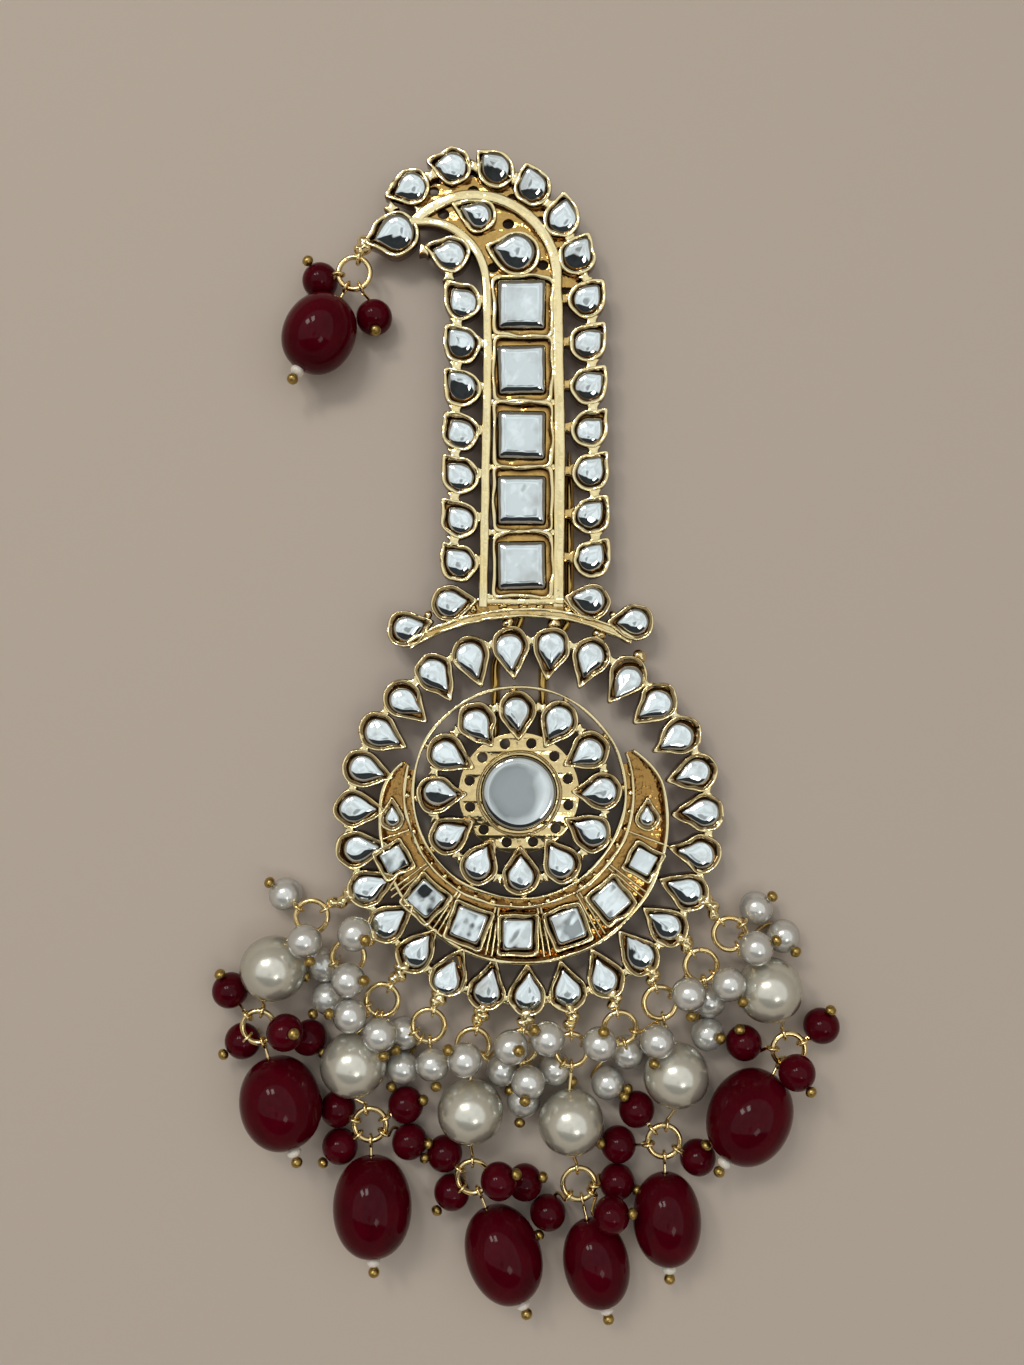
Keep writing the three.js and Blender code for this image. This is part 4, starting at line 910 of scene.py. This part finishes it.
def pinnedBead(ring, row, radius, seed):
    # a bead on a head pin: eye on the ring, bent wire, bead with its hole, and the pin's ball, which lies
    # on the bead's axis so that it shows where the row says
    centre, flat = np.array(row[:3], float), np.array([*row[3:], 0.0])
    ball = bead["pinBall"]
    reach = radius + ball * 0.75
    rise = math.sqrt(max(0.0, reach ** 2 - flat @ flat))
    axis = unit(flat + upwards * rise)
    spot, outwards = ringSpot(ring, centre)
    mouth = centre - axis * radius * 0.96
    middle = mouth - axis * 1.2
    middle[2] = max(middle[2], 0.6)
    size = 2 * radius
    return [
        turned(centre, axis, beadProfile(size, size * 0.97, bead["hole"]), 30, 0, 0.006, seed),
        eyeLoop(spot, outwards, 1),
        bentWire(spot + outwards * eye["radius"], middle, mouth + axis * 0.3),
        turned(centre + axis * reach, axis, beadProfile(2 * ball, 1.7 * ball, 0.1), 14, 2, 0.03, seed),
    ]


def bunch(name, ring, rows, radius, glass, node):
    # a jump ring with its pinned beads
    shells = [jumpRing(ring, len(name) + ring[0], 1)]
    for number, row in enumerate(rows):
        shells.extend(pinnedBead(ring, row, radius, 3 * number + ring[0]))
    return makePiece(name, shells, [glass, wireGold, ballBrass], [node])


def pearlDrop(name, upper, strand, node):
    # a large pearl on a wire with an eye at both ends, on the line between its two jump rings
    radius = bead["bigPearl"]
    centre = np.array([*strand["pearl"], radius + 0.05])
    ends = [ringSpot(ring, centre) for ring in (upper, strand["ring"])]
    axis = unit(ends[0][0] - ends[1][0])
    profile = beadProfile(2 * radius, bead["bigPearlLength"], bead["bigHole"])
    shells = [turned(centre, axis, profile, 56, 0, 0.004, centre[0])]
    for (spot, outwards), side in zip(ends, (1, -1)):
        mouth = centre + side * axis * 4.7
        start = spot + outwards * eye["radius"]
        shells.append(eyeLoop(spot, outwards, 1))
        shells.append(bentWire(start, (start + mouth) / 2, mouth))
    return makePiece(name, shells, [ivoryPearl, wireGold], [node])


def maroonDrop(name, strand, node, seed):
    # a large maroon bead on an eye pin, with a seed bead and the pin's ball below it on the same axis
    width, length = strand["size"]
    centre = np.array([*strand["drop"], width / 2 + 0.1])
    spot, outwards = ringSpot(strand["ring"], centre)
    start = spot + outwards * eye["radius"]
    axis = unit(start - centre)
    half = length / 2
    shells = [
        turned(centre, axis, beadProfile(width, length, bead["maroonHole"], 2.25), 56, 0, 0.012, seed),
        eyeLoop(spot, outwards, 1),
        bentWire(start, centre + axis * (half + 0.4), centre + axis * (half - 0.6)),
        turned(centre - axis * (half + 0.45), axis, beadProfile(2.1, 1.5, 0.3, 2.6), 18, 2, 0.02, seed),
        turned(centre - axis * (half + 1.9), axis, beadProfile(1.7, 1.6, 0.1), 18, 3, 0.03, seed),
    ]
    return makePiece(name, shells, [maroonBead, wireGold, seedGlass, ballBrass], [node])


def hangers():
    # a cast neck of lumps from the petal, with an eye that the jump ring passes through
    shells = []
    roots = [(ring, polar(outerRing["centre"], outerRing["radius"] + 2.5,
                          outerRing["first"] - (number - 1) * 360 / outerRing["count"]))
             for number, ring in upperRings.items()]
    roots.append((tipStrand["ring"], polar(*tipStrand["root"])))
    for number, (ring, root) in enumerate(roots):
        spot, outwards = ringSpot(ring, root)
        start = np.array([*root, casting["lump"]])
        neck = spot + outwards * eye["radius"] * 1.1
        across = np.cross(neck - start, upwards)
        shells.append(wire(np.linspace(start, neck, 5), np.linspace(0.75, 0.5, 5), across + 1e-6, 12))
        for step, size, aside in ((0.1, 1.2, 0.1), (0.5, 1.05, -0.3), (0.85, 0.95, 0.3)):
            lump = start + (neck - start) * step + unit(across) * aside
            shells.append(nugget(lump, size, number + 5 * step, 0.95))
        shells.append(eyeLoop(spot, outwards, 0, 1.08))
    return makePiece("hangerEyes", shells, [castGold], ["gold_frame"])


hangers()
for number, ring in upperRings.items():
    bunch(f"pearlBunch{number}", ring, smallPearls[number], bead["smallPearl"], whitePearl,
          f"pearl_bunch_{number}")
for number, strand in strands.items():
    pearlDrop(f"pearlDrop{number}", upperRings[number], strand, f"pearl_drop_{number}")
    bunch(f"maroonBunch{number}", strand["ring"], smallMaroons[number], bead["smallMaroon"], maroonBead,
          f"maroon_bunch_{number}")
    maroonDrop(f"maroonDrop{number}", strand, f"maroon_drop_{number}", number)
bunch("tipBunch", tipStrand["ring"], tipStrand["beads"], bead["smallMaroon"], maroonBead, "tip_bunch")
maroonDrop("tipDrop", tipStrand, "tip_drop", 5)
print("strands made")


# The pin behind

pin = dict(wire=0.65, between=7.3, route=((0, -2.5), (0, 19), (0.4, 20.5), (3.7, 25.5), (4.1, 27), (4.1, 52)),
           count=70, pointed=6, foot=(9.5, 6.5, 2.7), eased=0.3)


def backPin():
    # two prongs on the same bent route, which taper over their last millimetres, and an eased block that
    # joins them behind the round stone
    shells = []
    thick = pin["wire"]
    for side in (-1, 1):
        corners = np.array(pin["route"], float) + np.array([side * pin["between"] / 2, 0])
        flat, remaining = evenPoints(corners, pin["count"])
        taper = thick * np.clip(remaining / pin["pointed"], 0.12, 1) ** 0.6
        shells.append(wire(raised(flat, thick), taper, sides=14))
    wide, high, deep = pin["foot"]
    eased = pin["eased"]
    rings = [(eased, 0.0), (0.0, eased), (0.0, deep - eased), (eased, deep)]
    loop = squareLoop(wide, high, 48, 2)
    shells.append(gridShell(np.stack([raised(loop * (1 - inset / 5), z) for inset, z in rings])))
    return makePiece("backPinWire", shells, [wireGold], ["back_pin"])


backPin()
print("pin made")


# Floor, light and camera

sweep = dict(flat=1100, corner=400, wall=1200, glow=0.16, columns=96, colour="#c6baad")


def makeFloor():
    # a plain table that sweeps up into a low round wall: the profile is turned about the Z axis
    corner, flat, columns = sweep["corner"], sweep["flat"], sweep["columns"]
    angles = np.linspace(0, math.pi / 2, 9)
    radius = np.concatenate([[60, 300], flat + corner * np.sin(angles), [flat + corner]])
    height = np.concatenate([[0, 0], corner * (1 - np.cos(angles)), [sweep["wall"]]])
    rings = raised(radius[:, None, None] * circleLoop(1, columns), height[:, None])
    index = np.arange(rings[:, :, 0].size).reshape(rings.shape[:2])
    near, far = index[:-1], index[1:]
    quads = np.stack([near, far, np.roll(far, -1, 1), np.roll(near, -1, 1)], -1).reshape(-1, 4)
    mesh = bpy.data.meshes.new("tableTop")
    mesh.from_pydata((rings.reshape(-1, 3) * mm).tolist(), [], quads.tolist() + [index[0].tolist()])
    mesh.polygons.foreach_set("use_smooth", np.ones(len(mesh.polygons), bool))
    # plain matt paper, whose wall glows a little so that it stays as pale as the table
    material, tree, shader, place, noises = newMaterial("plainTable", {}, {})
    rise = addNode(tree, "SeparateXYZ", {"Vector": place}).outputs["Z"]
    glow = addNode(tree, "MapRange", {"Value": rise, "From Max": corner * mm, "To Max": sweep["glow"]})
    colour = srgb(sweep["colour"])
    setInputs(tree, shader, {"Roughness": 0.8, "Base Color": colour, "Emission Color": colour,
                             "Emission Strength": glow.outputs["Result"]})
    material.cycles.emission_sampling = "NONE"
    mesh.materials.append(material)
    floor = addObject("tableTop", mesh)


# metres: place, size and watts
panes = dict(paneLeft=((-0.34, 0.38, 0.62), (0.1, 0.16), 0.75),
             paneRight=((-0.16, 0.42, 0.64), (0.1, 0.16), 0.75),
             lowPane=((0.24, -0.26, 0.74), (0.16, 0.14), 0.3))


def areaLight(name, spot, size, power):
    # a window that shines at the origin along its own minus Z axis, tipped about X and then turned about Z
    data = bpy.data.lights.new(name, "AREA")
    data.shape = "RECTANGLE"
    data.size, data.size_y = size
    data.energy = power
    data.color = srgb("#fffaf2")[:3]
    light = addObject(name, data)
    light.location = spot
    x, y, z = unit(-np.array(spot))
    light.rotation_euler = (math.acos(-z), 0, math.atan2(-x, y))


sky = dict(bright=0.97, folds=0.78, dark=0.04, side=(0.12, 1.0), darkFrom=-0.29, card=0.38, cloth=5.0,
           cardSpot=(-0.02, -0.12, 0.99), cardSize=0.095, swirl=0.12, soft=0.025)


def makeWorld():
    # a white studio tent with a black opening towards the drops and a round grey card beside the camera:
    # the strength steps at a share of the direction and at a distance from the card's centre, a noise
    # makes both edges wander, and the folds of the cloth dim the whole
    world = bpy.data.worlds.new("studioTent")
    bpy.context.scene.world = world
    world.use_nodes = True
    tree = world.node_tree
    soft, bright, half = sky["soft"], sky["bright"], sky["swirl"] / 2
    straight = addNode(tree, "TexCoord").outputs["Generated"]
    cloth = addNode(tree, "TexNoise", {"Vector": straight, "Scale": sky["cloth"], "Detail": 2.0}).outputs
    wander = addNode(tree, "VectorMath", {0: cloth["Color"], 1: (2 * half,) * 3, 2: straight},
                     operation="MULTIPLY_ADD").outputs["Vector"]
    direction = addNode(tree, "VectorMath", {0: wander, 1: (half,) * 3},
                        operation="SUBTRACT").outputs["Vector"]
    sideways = addNode(tree, "VectorMath", {0: direction, 1: (*sky["side"], 0)},
                       operation="DOT_PRODUCT").outputs["Value"]
    away = addNode(tree, "VectorMath", {0: direction, 1: sky["cardSpot"]},
                   operation="DISTANCE").outputs["Value"]
    steps = []
    for value, start, end, low, high in (
        (sideways, sky["darkFrom"] - soft, sky["darkFrom"] + soft, sky["dark"], bright),
        (away, sky["cardSize"] - soft, sky["cardSize"] + soft, sky["card"], bright),
        (cloth["Fac"], 0.4, 0.6, sky["folds"], 1.0),
    ):
        levels = {"Value": value, "From Min": start, "From Max": end, "To Min": low, "To Max": high}
        steps.append(addNode(tree, "MapRange", levels).outputs["Result"])
    tent, card, folds = steps
    darker = addNode(tree, "Math", {0: tent, 1: card}, operation="MINIMUM").outputs["Value"]
    level = addNode(tree, "Math", {0: darker, 1: folds}, operation="MULTIPLY").outputs["Value"]
    setInputs(tree, tree.nodes["Background"], {"Strength": level, "Color": srgb("#f7f9fa")})


# lens and sensor in millimetres, as is the spot
overhead = dict(lens=31.6, sensor=36, spot=(-1.05, 16.6, 185))


def makeCamera():
    # it looks straight down, along its own minus Z axis
    data = bpy.data.cameras.new("overhead")
    data.lens = overhead["lens"]
    data.sensor_width = overhead["sensor"]
    data.clip_start = 0.01
    camera = addObject("overhead", data)
    camera.location = [value * mm for value in overhead["spot"]]
    bpy.context.scene.camera = camera


makeFloor()
makeWorld()
makeCamera()
for name, (spot, size, power) in panes.items():
    areaLight(name, spot, size, power)
bpy.context.scene.view_settings.view_transform = "Standard"
print("stage made")
